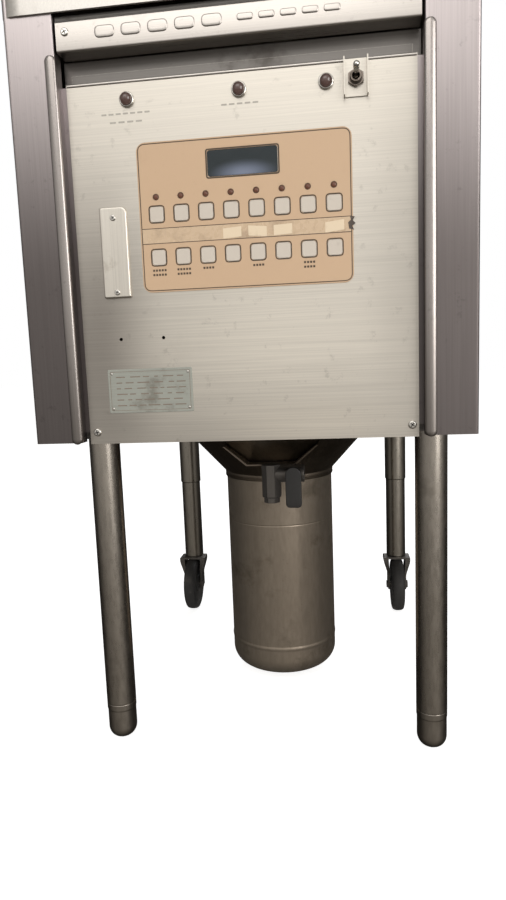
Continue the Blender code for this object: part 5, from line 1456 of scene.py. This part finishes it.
def latch_bracket():
    """A foot, two ears with round tops, and a pin: outlines and a profile carried across x."""
    low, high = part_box("latch_bracket")
    foot_top, inner, thick, r = low.z + 0.003, 0.012, 0.004, 0.009
    foot = rectangle(high.x - low.x, high.y - low.y, 0.004, 5, ((low.x + high.x) / 2, LATCH_PIVOT.y))
    parts = [prism_shell(foot, low.z, foot_top)]
    a = np.linspace(0, math.pi, 17)
    top = np.column_stack([r * np.cos(a), r * np.sin(a)]) + np.array([LATCH_PIVOT.y, LATCH_PIVOT.z])
    ear = np.concatenate(
        [[(LATCH_PIVOT.y - r, foot_top - 0.001), (LATCH_PIVOT.y + r, foot_top - 0.001)], top]
    )
    for side in (-1, 1):
        span = sorted((side * inner, side * (inner + thick)))
        parts.append(laid_across(prism_shell(ear, *span)))
    pin = [(0, -0.0145), (0.0036, -0.0145), (0.004, -0.014), (0.004, 0.014), (0.0036, 0.0145), (0, 0.0145)]
    parts.append(turned_shell(pin, LATCH_PIVOT, SIDE_TO_SIDE, 32))
    button = [(0, 0), (0.0028, 0), (0.0022, 0.0012), (0, 0.0015)]
    for side in (-1, 1):
        parts.append(turned_shell(button, (side * 0.0205, LATCH_PIVOT.y, foot_top), UPRIGHT, 24))
    piece("latch_bracket_folded", parts, TRIM, "cabinet", "latch_bracket")


def front_latch():
    """The hook's outline with soft corners, drawn upright and then swung forward to where it rests."""
    arm_low, arm_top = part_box("lid_arm")[0], 0.949
    nose = arm_low.y - 0.002 - LATCH_PIVOT.y
    over = arm_top + 0.004 - LATCH_PIVOT.z
    a = np.linspace(math.pi, math.tau, 13)
    eye = np.column_stack([0.008 * np.cos(a), 0.008 * np.sin(a)])
    rest = [
        (0.008, over - 0.020), (nose, over - 0.012), (nose, over), (nose + 0.012, over),
        (nose + 0.012, over + 0.009), (0.006, over + 0.009), (0.0, over + 0.045), (-0.010, over + 0.045),
        (-0.008, over)
    ]
    radii = [0.003, 0.002, 0.0008, 0.001, 0.003, 0.006, 0.004, 0.004, 0.003]
    outline = np.concatenate([eye, rounded(rest, radii, True, 5)])
    swing = Matrix.Rotation(math.radians(35), 4, "X")
    inner = 0.0044
    spots, faces = laid_across(prism_shell(outline, -0.0098, 0.0098))
    parts = [(moved(spots, swing, LATCH_PIVOT), faces)]
    caps = rounded([(inner, -0.0104), (0.0072, -0.0104), (0.0072, 0.0104), (inner, 0.0104)], 0.0008, True, 3)
    parts.append(turned_shell(caps, LATCH_PIVOT, SIDE_TO_SIDE, 40, True))
    piece("front_latch_hook", parts, TRIM, "front_latch", "front_latch")


latch_bracket()
front_latch()
print("front latch and its bracket")

# %% [markdown]
# ## Gauge and relief valve
# Both stand on the deck behind the lid, where the operator can read them. The dial has plain ticks from a
# loop and one pointer; the relief valve is turned brass with a hexagon that takes a spanner.
# %% Pressure gauge


def pressure_gauge():
    """A turned case and dial, 21 ticks over three quarters of a turn, a needle and a stand."""
    low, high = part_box("pressure_gauge")
    r = (high.x - low.x) / 2
    x, y, z = (low.x + high.x) / 2, (low.y + high.y) / 2, high.z - r
    case = rounded(
        [
            (0, -0.016), (r - 0.003, -0.016), (r, -0.013), (r, 0.013), (r - 0.003, 0.016),
            (r - 0.005, 0.014), (r - 0.005, 0.011), (0, 0.011)
        ],
        [0, 0.002, 0.001, 0.001, 0.0012, 0.0006, 0, 0], False, 4
    )
    piece(
        "gauge_case", [turned_shell(case, (x, y, z), FRONT_TO_BACK, 96)], BRIGHT, "cabinet",
        "pressure_gauge"
    )
    dial = rod(r - 0.0052, 0.0111, 0.0118)
    turned("gauge_dial", dial, (x, y, z), DIAL, "cabinet", FRONT_TO_BACK, (), 96)
    face = y - 0.0118
    ticks = []
    for k in range(21):
        a = math.radians(225 - 270 * k / 20)
        long = 0.0046 if k % 5 == 0 else 0.0026
        outline = rectangle(long, 0.0008 if k % 5 == 0 else 0.0005, 0, 1)
        c, s = math.cos(a), math.sin(a)
        outline = (outline + np.array([r - 0.0095, 0])) @ np.array([[c, s], [-s, c]])
        ticks.append(facing(prism_shell(outline, face - 0.0001, face), x, z))
    a = math.radians(225)
    needle = np.array([(-0.006, -0.0011), (0.0175, -0.0003), (0.0175, 0.0003), (-0.006, 0.0011)])
    needle = needle @ np.array([[math.cos(a), math.sin(a)], [-math.sin(a), math.cos(a)]])
    ticks.append(facing(prism_shell(needle, face - 0.0008, face - 0.0004), x, z))
    cap = [(0, 0.0), (0.0024, 0.0), (0.0018, 0.0012), (0, 0.0014)]
    ticks.append(turned_shell(cap, (x, face, z), FRONT_TO_BACK, 24))
    piece("gauge_ticks", ticks, PRINT, "cabinet")
    foot = low.z
    stand = rounded(
        [
            (0, z - r + 0.006), (0.007, z - r + 0.006), (0.007, foot + 0.012), (0.013, foot + 0.012),
            (0.013, foot), (0, foot)
        ],
        0.0008, False, 3
    )
    turned("gauge_stand", stand, (x, y, 0), BRASS, "cabinet", UPRIGHT, (), 48)


def relief_valve():
    """A turned body from its cap down to its foot, and a hexagon round its middle."""
    centre, foot = middle("relief_valve"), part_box("relief_valve")[0].z
    profile = [
        (0, foot + 0.078), (0.009, foot + 0.078), (0.011, foot + 0.074), (0.011, foot + 0.052),
        (0.017, foot + 0.050)
    ]
    profile += [
        (0.017, foot + 0.022), (0.010, foot + 0.020), (0.010, foot + 0.012), (0.0145, foot + 0.012),
        (0.0145, foot), (0, foot)
    ]
    parts = [turned_shell(rounded(profile, 0.0012, False, 3), (centre.x, centre.y, 0), UPRIGHT, 64)]
    spanner = rounded(rod(0.0172, foot + 0.046, foot + 0.034), 0.0006, False, 2)
    parts.append(turned_shell(spanner, (centre.x, centre.y, 0), UPRIGHT, 6))
    piece("relief_valve_turned", parts, BRASS, "cabinet", "relief_valve")


pressure_gauge()
relief_valve()
print("gauge and relief valve")

# %% [markdown]
# ## Floor, light and camera
# The floor is plain and pale. Metal shows what is round it, so the surroundings matter as much
# as the lamps: bright and warm in front and above, and dark low down. This gives the posts part of their fall
# from light to dark, the rest being painted shade in their finish, and gives the tubes their bright middle
# with dark sides.
# %% Floor
FLOOR_REACH = 20.0
floor_corners = np.array([(-1, -1, 0), (1, -1, 0), (1, 1, 0), (-1, 1, 0)]) * FLOOR_REACH
floor_mesh = mesh_of("floor", [(floor_corners, [(0, 1, 2, 3)])])
floor = bpy.data.objects.new("floor", floor_mesh)
bpy.context.scene.collection.objects.link(floor)
floor_material, _, floor_shader, _ = blank("pale_floor", 0.9, 0.0)
floor_shader.inputs["Base Color"].default_value = (0.72, 0.72, 0.72, 1.0)
floor_shader.inputs["Emission Color"].default_value = (1.0, 1.0, 1.0, 1.0)
floor_shader.inputs["Emission Strength"].default_value = 0.84
floor_mesh.materials.append(floor_material)
floor.visible_glossy = False
floor.location.z = cad_box[0].z - 0.0005
print("floor at", round(floor.location.z, 4))

# %% Surroundings


def surroundings():
    """White where the camera looks past the object; for everything else a room: light above, dark below."""
    world = bpy.data.worlds.new("room")
    bpy.context.scene.world = world
    world.use_nodes = True
    tree = world.node_tree
    tree.nodes.clear()
    ways = tree.nodes.new("ShaderNodeTexCoord").outputs["Generated"]
    parts = add(tree, "ShaderNodeSeparateXYZ", {"Vector": ways})
    height = ranged(tree, parts.outputs["Z"], -0.36, 0.16)
    ahead = ranged(tree, parts.outputs["Y"], 0.25, -0.95, 0.10, 1.0)
    sideways = ranged(tree, parts.outputs["X"], -0.55, 0.45, 0.70, 1.0)
    ahead = maths(tree, "MULTIPLY", ahead, sideways)
    below = blended(tree, height, (0.215, 0.195, 0.17), (1.0, 0.965, 0.915))
    shade = add(tree, "ShaderNodeCombineColor", {"Red": ahead, "Green": ahead, "Blue": ahead})
    room = blended(tree, 1.0, below, shade.outputs["Color"], "MULTIPLY")
    seen = add(tree, "ShaderNodeBackground", Color=(1.0, 1.0, 1.0, 1.0), Strength=1.0)
    felt = add(tree, "ShaderNodeBackground", {"Color": room}, Strength=0.98)
    path = tree.nodes.new("ShaderNodeLightPath")
    mix = add(tree, "ShaderNodeMixShader", {0: path.outputs["Is Camera Ray"]})
    tree.links.new(felt.outputs[0], mix.inputs[1])
    tree.links.new(seen.outputs[0], mix.inputs[2])
    out = tree.nodes.new("ShaderNodeOutputWorld")
    tree.links.new(mix.outputs[0], out.inputs["Surface"])


surroundings()
print("room made")

# %% Lamps


def soft_lamp(name, place, aim, size, power, colour):
    """A rectangular area lamp, aimed at a point."""
    data = bpy.data.lights.new(name, "AREA")
    data.shape, data.size, data.size_y = "RECTANGLE", size[0], size[1]
    data.energy, data.color = power, colour
    lamp = bpy.data.objects.new(name, data)
    lamp.location = place
    lamp.rotation_euler = (Vector(aim) - Vector(place)).to_track_quat("-Z", "Y").to_euler()
    bpy.context.scene.collection.objects.link(lamp)


soft_lamp("key_light", (-0.5, -2.6, 2.5), (0, 0, 0.6), (2.2, 1.6), 18, (1.0, 0.97, 0.93))
soft_lamp("fill_light", (1.7, -2.0, 1.0), (0, 0, 0.4), (1.2, 1.6), 22, (1.0, 0.97, 0.94))
soft_lamp("rim_light", (0.4, 2.4, 2.2), (0, 0, 0.8), (1.8, 1.2), 35, (0.95, 0.97, 1.0))
print("three soft lamps")

# %% Camera
CAMERA_X, CAMERA_BACK, CAMERA_Z = 0.08865, 0.66087, 0.4835
YAW, PITCH, ROLL = 7.28, -7.49, -2.18
camera_data = bpy.data.cameras.new("camera")
camera_data.sensor_width, camera_data.lens = 36.0, 26.16
camera_data.clip_start = 0.02
camera = bpy.data.objects.new("camera", camera_data)
bpy.context.scene.collection.objects.link(camera)
yaw, pitch, roll = (math.radians(v) for v in (YAW, PITCH, ROLL))
forward = Vector((-math.sin(yaw) * math.cos(pitch), math.cos(yaw) * math.cos(pitch), math.sin(pitch)))
across = Vector((math.cos(yaw), math.sin(yaw), 0))
upward = across.cross(forward)
right = math.cos(roll) * across + math.sin(roll) * upward
up = -math.sin(roll) * across + math.cos(roll) * upward
turn = Matrix((right, up, -forward)).transposed()
camera.matrix_world = Matrix.Translation((CAMERA_X, FRONT - CAMERA_BACK, CAMERA_Z)) @ turn.to_4x4()
bpy.context.scene.camera = camera
bpy.context.scene.view_settings.view_transform = "Standard"
print("camera at", [round(v, 3) for v in camera.location])
